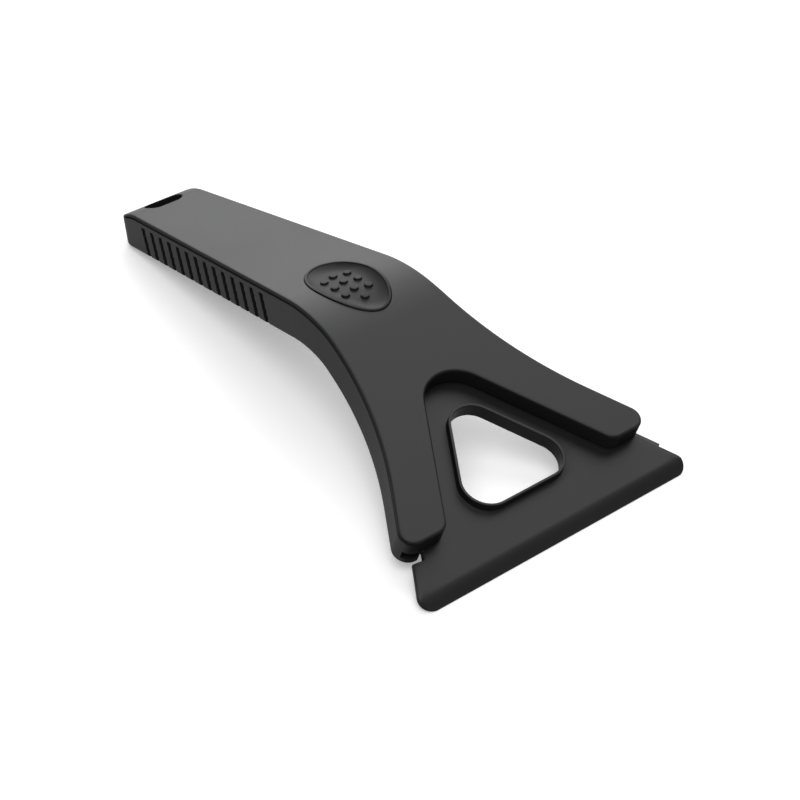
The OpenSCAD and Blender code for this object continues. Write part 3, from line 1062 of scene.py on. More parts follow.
def moulded(name: str, finish: Finish, marks: Patterns = Patterns()) -> bpy.types.Material:
    """Material of a finish: moulded grain, drifting sheen, faint scuffs, a little dust, and painted shade on
    some faces.

    The tone follows the drift and the grain in equal parts, and dust is added to it. The roughness is the
    finish's own plus what the drift, the grain and the scuffs change. The height is the grain and the waves
    less the scuffs.

    Args:
        name: name of the material.
        finish: its numbers.
        marks: numbers of the patterns.

    Returns:
        The material.
    """
    graph = Graph(name)
    place = graph.place()
    grain = graph.noise(place, finish.grain_scale, marks.grain_detail, marks.rough_noise)
    drift = graph.noise(place, marks.drift)
    flow = graph.noise(place, marks.flow)
    along, across = (graph.scuffed(place, streaks, marks.rough_noise) for streaks in marks.streaks)
    worn = (along + across) * drift.over(*marks.worn_band)
    specks = graph.noise(place, marks.specks, detail=1.0).over(*marks.speck_band)
    low, high = ([tone * part for part in finish.colour] for tone in marks.tones)
    base = graph.tinted(drift.over(*marks.drift_band) * 0.5 + grain * 0.5, low, high)
    dust = specks * flow.over(*marks.speck_flow) * finish.dust + worn * (marks.scuff_dust * finish.dust)
    dusted = graph.tinted(dust, (0.0, 0.0, 0.0), marks.dust_colour)
    sheen = finish.roughness + (drift - 0.5) * finish.vary + (grain - 0.5) * marks.grain_sheen
    raised = grain * finish.grain + flow * (marks.flow_share * finish.grain)
    graph.dress(
        {
            "Base Color": graph.add("ShaderNodeVectorMath", "Vector", {0: base, 1: dusted}, operation="ADD"),
            "Roughness": sheen + worn * finish.scuff,
            "Metallic": finish.metallic,
            "Specular IOR Level": finish.specular,
            "Normal": graph.bump(raised - worn * (marks.worn_share * finish.grain)),
        }
    )
    # Painted shade: the finish's chosen faces get a shader copy that mirrors less, so that they look darker.
    if finish.painted_shade is not PaintedShade.NONE:
        graph.mix_painted_shade(graph.painted_shade_share(finish.painted_shade), finish.shade_specular)
    return graph.material


# Pieces


@dataclass
class Piece:
    """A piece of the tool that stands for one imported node.

    Attributes:
        node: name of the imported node.
        body: name of the body that it rides on.
        look: its finish.
    """

    node: str
    body: str
    look: Look

    def mesh(self) -> bpy.types.Mesh:
        """The piece's mesh."""
        raise NotImplementedError

    def build(self) -> bpy.types.Object:
        """Makes the object, dresses it and puts it on its body.

        Returns:
            The object, at the origin.
        """
        piece = put_in(f"{self.node}_look", self.mesh())
        piece.data.materials.append(moulded(self.look.slot, self.look.finish))
        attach(piece, self.body)
        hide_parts(self.node)
        log.info("%s built on %s", piece.name, self.body)
        return piece


class Side(IntEnum):
    """The plate's three sides, in the order of their columns."""

    FRONT = 0
    STRIP = 1
    TOOTHED = 2


@dataclass
class ScraperPlate(Piece):
    """Three-sided plate: a bevelled edge in front, a toothed edge on its left, and a window with a collar.

    Attributes:
        bevel_run: width of the bevel in front.
        bevel_land: thickness that it leaves at the edge.
        window_reach: reach of the window's sides.
        collar_h: height of the collar over the plate.
        collar_edge: radius of its rim's edges.
        collar_foot: radius of the round at its foot.
        tooth_pitch: distance between the gaps' middles.
        gap_mouth: width of a gap in the toothed edge at its mouth.
        gap_foot: width of its floor.
        tooth_back: distance from the round of a gap's floor to the flat top's last row.
        tooth_slope: how fast that row draws back from a side's end, so that no fold forms.
        strip_seat: width of the wiper strip's seat.
        strip_half: half its length.
        strip_level: height of its floor.
        seat_end: distance of the seat's inner row from the edge at a side's end.
        seat_slope: how fast that row draws back from there.
        edge_r: radius of the top's edge.
        front_edge_r: that radius in front.
        toothed_edge_r: that radius on the toothed side.
        front_fade: length over which the front's radius turns into the others.
        toothed_fade: length over which the toothed side's radius sets in.
        side_step: distance between columns on a side.
        crisp: distance of a tooth corner's extra columns.
        seat_step: length of the step at the seat's ends.
        side: per column, the side, or 3 more than the side that a corner follows.
        angle: direction of its normal, in degrees.
        place: its place along a side, from -1 to 1.
        out: its normal.
        half: half the length of a side's straight part.
        to_end: distance of a column from the side's nearer end.
    """

    TURNS = (-90.0, 30.0, 150.0)
    TOP_ROWS, UNDER_ROWS, WALL_ROWS = 10, 8, 6
    ROUND_ANGLES = (30, 60, 90)

    node: str = "scraper_plate"
    body: str = "blade"
    look: Look = Look.PLATE
    bevel_run: float = 4.1
    bevel_land: float = 0.3
    window_reach: float = 13.7
    window_corner_r: float = 7.8
    collar_h: float = 2.8
    collar_wall: float = 0.9
    collar_edge: float = 0.2
    collar_foot: float = 0.3
    tooth_gaps: int = 9
    tooth_pitch: float = 8.7
    tooth_depth: float = 3.3
    gap_mouth: float = 5.8
    gap_foot: float = 3.0
    tooth_back: float = 0.75
    tooth_slope: float = 0.38
    strip_seat: float = 4.25
    strip_half: float = 43.05
    strip_level: float = -1.0
    seat_end: float = 1.75
    seat_slope: float = 0.4
    edge_r: float = 0.3
    front_edge_r: float = 0.1
    toothed_edge_r: float = 0.7
    front_fade: float = 3.0
    toothed_fade: float = 6.0
    side_step: float = 0.5
    corner_steps: int = 16
    crisp: float = 0.2
    seat_step: float = 0.02
    side: Array = field(init=False)
    angle: Array = field(init=False)
    place: Array = field(init=False)
    out: Array = field(init=False)
    half: float = field(init=False)
    to_end: Array = field(init=False)

    def __post_init__(self) -> None:
        """Lays the columns: three sides and three corners, counted from the front side's left end."""
        half = (TOOL.plate_reach - TOOL.plate_corner_r) * math.sqrt(3)
        cuts = (self.strip_half - self.seat_step / 2, self.strip_half + self.seat_step / 2)
        steps = np.linspace(-half, half, int(2 * half / self.side_step) + 1)
        extra = {Side.STRIP: np.array([*cuts, *(-cut for cut in cuts)]), Side.TOOTHED: self.tooth_stations()}
        sides, angles, places = [], [], []
        for k, turn in enumerate(self.TURNS):
            t = np.unique(np.concatenate([steps, extra.get(Side(k), [])]))
            corner = turn + np.linspace(0, 120, self.corner_steps + 2)[1:-1]
            sides += [np.full(len(t), k), np.full(self.corner_steps, k + len(Side))]
            angles += [np.full(len(t), turn), corner]
            places += [t / half, np.ones(self.corner_steps)]
        self.side, self.angle, self.place = map(np.concatenate, (sides, angles, places))
        self.half = half
        self.to_end = half * (1 - np.abs(self.place))
        a = np.radians(self.angle)
        self.out = np.stack([np.cos(a), np.sin(a)], axis=-1)

    @property
    def bevel_y(self) -> float:
        """Place of the line where the bevel starts."""
        return self.bevel_run - TOOL.plate_reach

    @property
    def gap_middles(self) -> Array:
        """Places of the gaps' middles on the toothed side."""
        return (np.arange(self.tooth_gaps) - (self.tooth_gaps - 1) / 2) * self.tooth_pitch

    def tooth_stations(self) -> Array:
        """Places on the toothed side where a gap's corners lie, and close to them, so that they stay crisp.

        Returns:
            Places for the columns.
        """
        corners = np.array([-self.gap_mouth / 2, -self.gap_foot / 2, self.gap_foot / 2, self.gap_mouth / 2])
        near = np.concatenate([corners - self.crisp, corners, corners + self.crisp])
        return (self.gap_middles[:, None] + near[None]).reshape(-1)

    def tooth_cut(self, t: Array) -> Array:
        """How deep the toothed side is cut: flat floors with slanted sides, pitch by pitch.

        Args:
            t: places along the side.

        Returns:
            Depths.
        """
        off = np.min(np.abs(t[:, None] - self.gap_middles[None]), axis=1)
        slope = (self.gap_mouth - self.gap_foot) / 2
        return self.tooth_depth * np.clip((self.gap_mouth / 2 - off) / slope, 0, 1)

    def triangle(self, reach: float, r: float, straight: float) -> Array:
        """Loop of a rounded triangle on the piece's columns.

        A side's point is reach n + straight t q, with n its normal, q along it and t from -1 to 1; a corner's
        point is the corner's centre plus r times the direction of its angle.

        Args:
            reach: distance of the sides from the origin.
            r: radius of the corners.
            straight: half the length of a side's straight part.

        Returns:
            Plan points.
        """
        a = np.radians(self.angle)
        along = np.stack([-np.sin(a), np.cos(a)], axis=-1)
        side = reach * self.out + (straight * self.place)[:, None] * along
        centre_angle = np.radians((self.side - len(Side)) * 120.0 - 30.0)
        centre = 2 * (reach - r) * np.stack([np.cos(centre_angle), np.sin(centre_angle)], axis=-1)
        return np.where((self.side >= len(Side))[:, None], centre + r * self.out, side)

    def whole(self) -> Array:
        """The plate's outline without its teeth."""
        return self.triangle(TOOL.plate_reach, TOOL.plate_corner_r, self.half)

    def grown(self, margin: float) -> Array:
        """The window's outline, grown by a margin."""
        straight = (self.window_reach - self.window_corner_r) * math.sqrt(3)
        return self.triangle(self.window_reach + margin, self.window_corner_r + margin, straight)

    @staticmethod
    def levels(plan: Array, z: Measure) -> Array:
        """Plan points at a height."""
        return np.concatenate([plan, np.broadcast_to(np.asarray(z, float), (len(plan),))[:, None]], axis=1)

    def top_z(self, plan: Array) -> Array:
        """Level of the top face: zero, and falling over the bevel in front."""
        slope = (TOOL.plate_t - self.bevel_land) / self.bevel_run
        return -slope * np.clip(self.bevel_y - plan[:, 1], 0, None)

    def top_rows(self, edge: Array, edge_r: Array) -> list[Array]:
        """Rows of the top face from the collar's foot to the edge, and down its round.

        Args:
            edge: the plate's outline with its teeth, drawn in by the edge's radius.
            edge_r: that radius, per column.

        Returns:
            Rows of points.
        """
        behind = np.minimum(self.tooth_depth + self.tooth_back, self.tooth_slope * self.to_end)
        teeth = np.where(self.side == Side.TOOTHED, behind, 0.0)
        middle = self.whole() - (self.edge_r + teeth)[:, None] * self.out
        middle[:, 1] = np.maximum(middle[:, 1], self.bevel_y)
        foot = self.grown(self.collar_wall + self.collar_foot)
        rows = [self.levels(p, 0) for p in blend_rows(foot, middle, np.linspace(0, 1, self.TOP_ROWS))]
        rows += [self.levels(p, self.top_z(p)) for p in (0.5 * (middle + edge), edge)]
        rim = self.top_z(edge) - edge_r
        for b in np.radians(self.ROUND_ANGLES):
            plan = edge + (edge_r * math.sin(b))[:, None] * self.out
            rows.append(self.levels(plan, rim + edge_r * math.cos(b)))
        return rows

    def bottom_rows(self, outer: Array, edge: Array, edge_r: Array) -> list[Array]:
        """Rows of the underside from the edge to the window, with the wiper strip's seat let into it.

        Args:
            outer: the plate's outline with its teeth.
            edge: the same drawn in by the edge's radius.
            edge_r: that radius, per column.

        Returns:
            Rows of points.
        """
        bottom = -TOOL.plate_t
        seat = (self.side == Side.STRIP) & (np.abs(self.place * self.half) < self.strip_half)
        drawn = np.minimum(self.strip_seat, self.seat_end + self.seat_slope * self.to_end)
        back = self.whole() - drawn[:, None] * self.out
        floor_z = np.where(seat, self.strip_level, bottom)
        wall_z = np.where(seat, self.strip_level, bottom + edge_r)
        rows = [self.levels(outer, wall_z), self.levels(edge, floor_z), self.levels(back, floor_z)]
        flat = blend_rows(back, self.grown(0), np.linspace(0, 1, self.UNDER_ROWS))
        return rows + [self.levels(p, bottom) for p in flat]

    def collar_rows(self) -> list[Array]:
        """Rows up the window's wall, over the collar's rounded rim and down to its foot on the plate.

        Returns:
            Rows of points.
        """
        top, foot = self.collar_h, self.collar_foot
        wall = np.linspace(-TOOL.plate_t, top - self.collar_edge, self.WALL_ROWS)[1:]
        rows = [self.levels(self.grown(0), z) for z in wall]
        drawn, down = fillet(self.collar_edge, 4)
        rows += [self.levels(self.grown(d), top - h) for d, h in zip(drawn[-2::-1], down[-2::-1])]
        rows += [self.levels(self.grown(self.collar_wall - d), top - h) for d, h in zip(drawn, down)]
        for b in np.radians((0, *self.ROUND_ANGLES)):
            margin = self.collar_wall + foot * (1 - math.cos(b))
            rows.append(self.levels(self.grown(margin), foot * (1 - math.sin(b))))
        return rows

    def mesh(self) -> bpy.types.Mesh:
        """Ring of rows that closes on itself: top face, edge, underside, window wall and collar.

        Returns:
            The mesh.
        """
        cut = np.where(self.side == Side.TOOTHED, self.tooth_cut(self.place * self.half), 0.0)
        outer = self.whole() - cut[:, None] * self.out
        share = ease((outer[:, 1] - self.bevel_y + self.front_fade / 2) / self.front_fade)
        toothed = np.where(self.side == Side.TOOTHED, np.clip(self.to_end / self.toothed_fade, 0, 1), 0.0)
        far_r = self.edge_r + (self.toothed_edge_r - self.edge_r) * toothed
        edge_r = self.front_edge_r + (far_r - self.front_edge_r) * share
        edge = outer - edge_r[:, None] * self.out
        rows = self.top_rows(edge, edge_r) + self.bottom_rows(outer, edge, edge_r) + self.collar_rows()
        sheets = Sheets()
        sheets.grid(np.stack(rows), wrap=True)
        return sheets.mesh(self.node, sharp=25)


@dataclass
class WiperStrip(Piece):
    """Soft lip along the plate's right side, a thin profile carried along it.

    Attributes:
        proud: how far it stands out past the plate's side.
        seat: how far it reaches in under the plate.
        tip: thickness of its tip.
        slope_from: distance from the plate's side at which its top starts to fall.
        corner_r: how far from a corner its round starts.
        corner_points: points of such a round.
        end_r: radius of the rounds at its two ends.
        end_core: added to half the thickness, so that no round can close an end.
        steps: rows along the strip between its rounded ends.
    """

    node: str = "wiper_strip"
    body: str = "blade"
    look: Look = Look.STRIP
    length: float = 85.6
    proud: float = 2.3
    seat: float = 4.0
    thickness: float = 1.0
    tip: float = 0.7
    slope_from: float = 0.2
    corner_r: float = 0.14
    corner_points: int = 5
    end_r: float = 0.2
    end_core: float = 0.001
    steps: int = 48

    def profile(self) -> Array:
        """Cross-section with rounded corners, counted out from the plate's side and up from its underside.

        Each corner becomes a curve of second degree from a point before it to a point after it.

        Returns:
            Points of the closed section.
        """
        p = np.array(
            [
                [-self.seat, 0],
                [self.proud - self.tip / 2, 0],
                [self.proud, self.tip / 2],
                [self.proud - self.tip / 4, self.tip],
                [self.slope_from, self.thickness],
                [-self.seat, self.thickness],
            ]
        )
        before, after = np.roll(p, 1, axis=0) - p, np.roll(p, -1, axis=0) - p
        start = p + self.corner_r * before / np.linalg.norm(before, axis=1, keepdims=True)
        end = p + self.corner_r * after / np.linalg.norm(after, axis=1, keepdims=True)
        t = np.linspace(0, 1, self.corner_points)[None, :, None]
        curve = (1 - t) ** 2 * start[:, None] + 2 * t * (1 - t) * p[:, None] + t**2 * end[:, None]
        return curve.reshape(-1, 2)

    def mesh(self) -> bpy.types.Mesh:
        """The section carried along the side, drawn in at both ends by a quarter round.

        Returns:
            The mesh.
        """
        section = self.profile()
        middle = section.mean(axis=0)
        drawn, down = fillet(self.end_r, 4)
        ends = self.length / 2 - down
        between = np.linspace(-ends[-1], ends[-1], self.steps + 2)[1:-1]
        along = np.concatenate([-ends, between, ends[::-1]])
        inset = np.concatenate([drawn, np.zeros(self.steps), drawn[::-1]])
        share = 1 - inset[:, None, None] / (0.5 * self.thickness + self.end_core)
        rows = middle + (section - middle)[None] * np.concatenate([0.5 + 0.5 * share, share], axis=2)
        n, q = np.array([COS_SIDE, SIN_SIDE]), np.array([-SIN_SIDE, COS_SIDE])
        plan = (TOOL.plate_reach + rows[..., :1]) * n + along[:, None, None] * q
        points = np.concatenate([plan, rows[..., 1:] - TOOL.plate_t], axis=2)
        sheets = Sheets()
        sheets.grid(points, wrap=True)
        for end in (points[0], points[-1]):
            sheets.disc(end)
        return sheets.mesh(self.node, sharp=50)


@dataclass
class TopCover(Piece):
    """Upper half of the body: a skin with a lip, a skirt round the fork's gap and a well for the pad.

    Attributes:
        gap_reach: reach of the fork's inner sides.
        gap_head_r: radius of the gap's head.
        front_counts: points of the tip's arc, the front line and the inner corner's first half.
        skin: thickness of the top.
        lip_in: how far the lip lies inside the tool's side.
        lip_wall: thickness of the lip and of the skirt.
        lip_depth: depth of the lip's foot.
        heel_wall: thickness of the lip at the heel.
        heel_start: place where it starts to thin.
        heel_run: length over which it does.
        block_depth: depth of the block round the hanging slot.
        block_start: place from which the block has its full depth.
        block_run: length of its slope.
        skirt_foot: height of the skirt's foot over the plate.
        skirt_round: how far below the edge's round the skirt's flat side starts.
        hole_edge: radius of the hanging slot's edge.
        pad_gap: gap round the thumb pad.
        pad_edge: radius of the edge round it.
        well_wall: thickness of the wall of the pad's well.
        well_floor: thickness of its floor.
    """

    node: str = "top_cover"
    body: str = "handle"
    look: Look = Look.COVER
    gap_reach: float = 21.7
    gap_head_r: float = 12.0
    tip_inner_r: float = 5.0
    front_counts: tuple[int, int, int] = (11, 16, 8)
    skin: float = 1.8
    lip_in: float = 2.15
    lip_wall: float = 1.4
    lip_depth: float = 3.6
    heel_wall: float = 0.3
    heel_start: float = 173.0
    heel_run: float = 4.0
    block_depth: float = 4.6
    block_start: float = 176.6
    block_run: float = 1.0
    skirt_foot: float = 0.35
    skirt_round: float = 0.05
    hole_edge: float = 0.35
    pad_gap: float = 0.1
    pad_edge: float = 0.12
    well_wall: float = 1.4
    well_depth: float = 3.1
    well_floor: float = 1.2

    def under(self, u: Array) -> Array:
        """Level of the underside: the skin, and a thicker block round the hanging slot."""
        slope = [self.block_start - self.block_run, self.block_start]
        return -np.maximum(TOOL.roll_drop(u) + self.skin, np.interp(u, slope, [self.skin, self.block_depth]))

    def lip_level(self, u: Array) -> Array:
        """Level of the lip's foot: not below the block at the heel, and never above the skin's underside."""
        drop = TOOL.roll_drop(u)
        return -np.maximum(np.minimum(self.lip_depth + drop, self.block_depth), self.skin + drop)

    def mesh(self) -> bpy.types.Mesh:
        """Top face, underside, rim, hanging slot and pad well.

        Returns:
            The mesh.
        """
        o = Outline(self.gap_reach, self.gap_head_r, self.tip_inner_r, self.front_counts)
        outside = np.arange(len(o.base)) < o.marks["inner_a"]
        heel = ease((o.base[:, 1] - self.heel_start) / self.heel_run)
        lip = self.lip_in + self.lip_wall + (self.heel_wall - self.lip_wall) * heel
        inner = np.where(outside, lip, self.lip_wall)
        well_out = self.pad_gap + self.well_wall
        top = Face(o, TOOL.edge_r, under_top(0), self.hole_edge, self.pad_gap + self.pad_edge)
        under = Face(o, inner, self.under, 0.0, well_out)
        sheets = Sheets()
        top.add_to(sheets)
        under.add_to(sheets)
        self.add_rim(sheets, o, inner, outside)
        slot_edge = [(grow, under_top(drop)) for grow, drop in zip(*fillet(self.hole_edge, 5))]
        add_wall(sheets, top, Stadium(), [*slot_edge, (0.0, self.under)])
        floor, low = under_top(self.well_depth), under_top(self.well_depth + self.well_floor)
        pad_edge = [(self.pad_gap + grow, under_top(drop)) for grow, drop in zip(*fillet(self.pad_edge, 5))]
        add_wall(sheets, top, Egg(), [*pad_edge, (self.pad_gap, floor)])
        add_floor(sheets, top, Egg(), self.pad_gap, floor)
        add_wall(sheets, under, Egg(), [(well_out, level) for level in (self.under, low)])
        add_floor(sheets, under, Egg(), well_out, low)
        return sheets.mesh(self.node, sharp=30)

    def add_rim(self, sheets: Sheets, o: Outline, inner: Array, outside: Array) -> None:
        """Adds the top's rounded edge, then the lip or the skirt down to its foot and up its inner side.

        Args:
            sheets: where the grids go.
            o: plan of the cover.
            inner: how far the inner side is drawn in, per point.
            outside: which points have a lip; the others, round the fork's gap, have a skirt.
        """
        drawn, down = fillet(TOOL.edge_r, 8)
        sheets.both(o.rows(drawn, under_top(0), -down))
        u = o.base[:, 1]
        over_lip = -TOOL.roll_drop(u) - TOOL.edge_r
        start = np.where(outside, over_lip, -TOOL.edge_r - self.skirt_round)
        foot = np.where(outside, self.lip_level(u), self.skirt_foot - TOOL.top)
        drawn_lip = np.where(outside, self.lip_in, 0.0)
        side = o.row(0.0, under_top(TOOL.edge_r))
        flats = [o.at(drawn_lip, start), o.at(drawn_lip, foot), o.at(inner, foot)]
        sheets.both(np.stack([side, *flats, o.row(inner, self.under)]))


@dataclass
class LowerShell(Piece):
    """Lower half of the body: a trough with grooves, arms that hold the plate, and the screws' bosses.

    Attributes:
        ledge_reach: reach of the ledge's inner sides, under the plate.
        ledge_head_r: radius of the ledge's head.
        ledge_corner_r: radius of its inner corners.
        ledge_edge: radius of its lower edge.
        ledge_wall: how far its upper face is drawn in past that.
        front_counts: points of the tip's arc, the front line and the inner corner's first half.
        spacing: distance between points along the grip's sides.
        top_depth: depth of the wall's crest under the top, for the shadow groove.
        closed_by: how much higher the crest lies at the heel, where the groove closes.
        closed_from: distance from the heel's end at which it starts to rise.
        closed_run: length over which it rises.
        rim_r: radius of the crest's edges.
        rim_cut: how far the row in the middle of such an edge is drawn in, as a share of that radius.
        rim_band: least height of the crest over the wall's lower row.
        skirt_x: place across the tool where the wall over the slot ends.
        groove_lean: angle by which a groove leans, in degrees.
        groove_from_heel: distance from the heel's end to the first one.
        groove_below_top: depth at which the grooves start.
        groove_soft: width over which a groove's side falls off.
        groove_run: height over which its upper end falls off.
        tube_top: depth of the top of the tube, the wall round the hanging slot.
        tube_edge: radius of its lower edge.
        pocket_end: place where the plate's seat ends.
        floor: thickness of the grip's floor.
        screw_web: thickness that a screw's head bears on.
        boss_drop: height of a boss below that.
        boss_r: radius of the grip's bosses.
        front_boss_r: radius of the two in front.
        counterbore_r: radius of a head's recess.
        shank_r: radius of a shank's hole.
        overcut: how far a hole's cutter stands out.
        front_boss: place of the right boss in front, across and along.
        grip_bosses: places of the grip's bosses along the tool.
    """

    WALL_ROWS, SIDE_ROWS, SEAT_ROWS, FRONT_COLUMNS, ROD_COLUMNS = 11, 9, 7, 16, 64

    node: str = "lower_shell"
    body: str = "handle"
    look: Look = Look.SHELL
    ledge_reach: float = 28.5
    ledge_head_r: float = 24.0
    ledge_corner_r: float = 2.4
    ledge_edge: float = 0.5
    ledge_wall: float = 0.1
    front_counts: tuple[int, int, int] = (12, 3, 11)
    spacing: float = 0.35
    top_depth: float = 1.5
    closed_by: float = 0.55
    closed_from: float = 9.0
    closed_run: float = 6.0
    rim_r: float = 0.2
    rim_cut: float = 0.3
    rim_band: float = 1.0
    skirt_x: float = 36.62
    groove_count: int = 14
    groove_pitch: float = 5.8
    groove_w: float = 1.8
    groove_depth: float = 1.15
    groove_lean: float = 8.0
    groove_from_heel: float = 19.0
    groove_below_top: float = 3.2
    groove_soft: float = 0.3
    groove_run: float = 0.5
    tube_top: float = 4.85
    tube_wall: float = 0.8
    tube_edge: float = 0.4
    pocket_end: float = 62.25
    floor: float = 2.0
    screw_web: float = 3.0
    boss_drop: float = 1.9
    boss_r: float = 4.0
    front_boss_r: float = 3.2
    counterbore_r: float = 2.75
    shank_r: float = 1.55
    overcut: float = 1.0
    front_boss: tuple[float, float] = (19.28, 42.5)
    grip_bosses: tuple[float, float] = (116.36, 172.3)

    @property
    def seat_v(self) -> float:
        """Height of the plate's seat."""
        return -(TOOL.top + TOOL.plate_t + TOOL.slot_gap)

    @property
    def slot_v(self) -> float:
        """Height of the roof of the plate's slot."""
        return TOOL.slot_gap - TOOL.top

    def inner_level(self, u: Array) -> Array:
        """Level of the inner floor: the plate's seat, then a ramp down into the grip."""
        return np.interp(u, [self.pocket_end, TOOL.grip_start], [self.seat_v, self.floor - TOOL.depth_grip])

    def groove_at(self, u: Array, v: Array) -> Array:
        """How deep the side is cut at a place and height.

        A groove's middle line starts at its place below the top and leans forward going down. The cut is full
        within the groove's width and falls off over groove_soft, and the same pattern repeats at the pitch.

        Args:
            u: places along the tool.
            v: heights over the top.

        Returns:
            Depths.
        """
        below = -v - self.groove_below_top
        along = TOOL.heel_u - self.groove_from_heel - u - below * math.tan(math.radians(self.groove_lean))
        nearest = np.clip(np.round(along / self.groove_pitch), 0, self.groove_count - 1)
        off = np.abs(along - nearest * self.groove_pitch)
        across = 1 - ease((off - (self.groove_w - self.groove_soft) / 2) / self.groove_soft)
        return self.groove_depth * across * ease(below / self.groove_run + 0.5)

    @staticmethod
    def inner_row(p: Array, n: Array, inset: Measure, v: Array) -> Array:
        """Points drawn in along their normals, where those on the centre line stay on it.

        Args:
            p: plan points.
            n: their normals.
            inset: how far they are drawn in.
            v: heights over the top.

        Returns:
            Points in the plate's frame.
        """
        q = p - np.broadcast_to(inset, v.shape)[:, None] * n
        q[:, 0] = np.where(p[:, 0] == 0, 0.0, q[:, 0])
        return TOOL.above(q, v)

    def side_row(self, p: Array, n: Array, inset: Measure, v: Array) -> Array:
        """The same, pushed in further where a groove is deeper than the inset."""
        return self.inner_row(p, n, np.maximum(inset, self.groove_at(p[:, 1], v)), v)

    def add_sides(self, sheets: Sheets, o: Outline, bottom_r: Array) -> None:
        """Adds the side's rounded lower edge and its wall up to the plate's seat.

        Args:
            sheets: where the grid goes.
            o: plan of the underside.
            bottom_r: radius of the lower edge, per point.
        """
        base = o.drawn_in(0)
        rows = []
        for drawn, up in zip(*fillet(1.0, 7)):
            v = -TOOL.depth_at(o.drawn_in(drawn * bottom_r)[:, 1]) + up * bottom_r
            rows.append(self.side_row(base, o.normal, drawn * bottom_r, v))
        start = -TOOL.depth_at(base[:, 1]) + bottom_r
        for t in np.linspace(0, 1, self.SIDE_ROWS)[1:]:
            rows.append(self.side_row(base, o.normal, 0.0, start + t * (self.seat_v - start)))
        sheets.both(np.stack(rows))

    def add_upper_wall(self, sheets: Sheets, o: Outline) -> None:
        """Adds the wall over the plate's slot: outer side, rim and inner side, and the slot's end and roof.

        Its crest follows the top at top_depth, and rises by closed_by at the heel. Its lower row is the
        slot's roof, but never less than rim_band under the crest. In front it runs on across to skirt_x.

        Args:
            sheets: where the grids go.
            o: plan of the underside.
        """
        closed, front, wall = o.marks["open"], o.marks["front"], TOOL.shell_wall
        corner = o.base[front]
        x = np.linspace(corner[0], self.skirt_x, self.FRONT_COLUMNS)[1:]
        p = np.concatenate([o.drawn_in(0)[: front + 1], np.stack([x, np.full_like(x, corner[1])], axis=-1)])
        n = np.concatenate([o.normal[: front + 1], np.tile([0.0, -1.0], (len(x), 1))])
        closing = ease((p[:, 1] - (TOOL.heel_u - self.closed_from)) / self.closed_run)
        crest = -TOOL.roll_drop(p[:, 1]) - self.top_depth + self.closed_by * closing
        low = np.minimum(self.slot_v, crest - self.rim_band)
        outer = [(0.0, low + t * (crest - self.rim_r - low)) for t in np.linspace(0, 1, self.WALL_ROWS)]
        cut = self.rim_cut * self.rim_r
        outer += [(cut, crest - cut), (self.rim_r, crest)]
        rows = [self.side_row(p, n, inset, v) for inset, v in outer]
        rows += [self.inner_row(p, n, wall - inset, v) for inset, v in outer[::-1]]
        sheets.both(np.stack(rows))
        sheets.both(np.stack([np.stack([rows[k][-1], rows[-1 - k][-1]]) for k in range(len(outer))]))
        sheets.both(np.stack([rows[0][closed:], rows[-1][closed:]]))
        q, m = p[: closed + 1], n[: closed + 1]
        heights = np.linspace(np.full(len(q), self.seat_v), low[: closed + 1], self.SEAT_ROWS)
        outside = [self.side_row(q, m, 0.0, v) for v in heights]
        inside = [self.inner_row(q, m, wall, v) for v in heights]
        floor = self.inner_row(q, m, wall, self.inner_level(q[:, 1] - wall * m[:, 1]))
        sheets.both(np.stack(outside))
        sheets.both(np.stack([floor, *inside]))
        sheets.both(np.stack([np.stack([a[-1], b[-1]]) for a, b in zip(outside, inside)]))

    def mesh(self) -> bpy.types.Mesh:
        """Underside, sides, rim, inner floor and slot tube, with the bosses on and the screws' holes cut.

        Returns:
            The mesh.
        """
        corners = (self.ledge_head_r, self.ledge_corner_r)
        o = Outline(self.ledge_reach, *corners, self.front_counts, spacing=self.spacing, skirt=0.0)
        gap = o.share("open", "inner_b")
        bottom_r = TOOL.bottom_r + (self.ledge_edge - TOOL.bottom_r) * gap
        inner = TOOL.shell_wall + (self.ledge_edge + self.ledge_wall - TOOL.shell_wall) * gap
        bottom = Face(o, bottom_r, over_bottom(0), self.tube_edge)
        sheets = Sheets()
        bottom.add_to(sheets)
        Face(o, inner, self.inner_level, self.tube_wall).add_to(sheets)
        self.add_sides(sheets, o, bottom_r)
        ledge = o.rows([0.0, inner], under_flat(-self.seat_v), [0.0, 0.0])
        sheets.both(ledge[:, o.marks["open"] :])
        self.add_upper_wall(sheets, o)
        tube = [(grow, over_bottom(up)) for grow, up in zip(*fillet(self.tube_edge, 4))]
        tube += [(grow, under_flat(self.tube_top)) for grow in (0.0, self.tube_wall)]
        add_wall(sheets, bottom, Stadium(), [*tube, (self.tube_wall, self.inner_level)])
        return self.drilled(sheets.mesh(self.node, sharp=30))

    def rod(self, spots: Sequence[tuple[float, float, float, float, float]]) -> bpy.types.Object:
        """Round bars square to the tool's top, as one object.

        Args:
            spots: for each bar its x, its place along the tool, its radius and its lowest and highest height.

        Returns:
            The object.
        """
        sheets = Sheets()
        a = around(self.ROD_COLUMNS)
        for x, u, r, low, high in spots:
            turn = TOOL.turn_at(u)
            foot = TOOL.bent(x, u, 0.0)
            along = np.array([0.0, math.cos(turn), -math.sin(turn)])
            up = np.array([0.0, math.sin(turn), math.cos(turn)])
            ring = foot + r * np.cos(a)[:, None] * np.array([1.0, 0, 0]) + r * np.sin(a)[:, None] * along
            rows = np.stack([ring + low * up, ring + high * up])
            sheets.grid(rows, wrap=True)
            sheets.disc(rows[0])
            sheets.disc(rows[1])
        return put_in("rod", sheets.mesh("rod"))

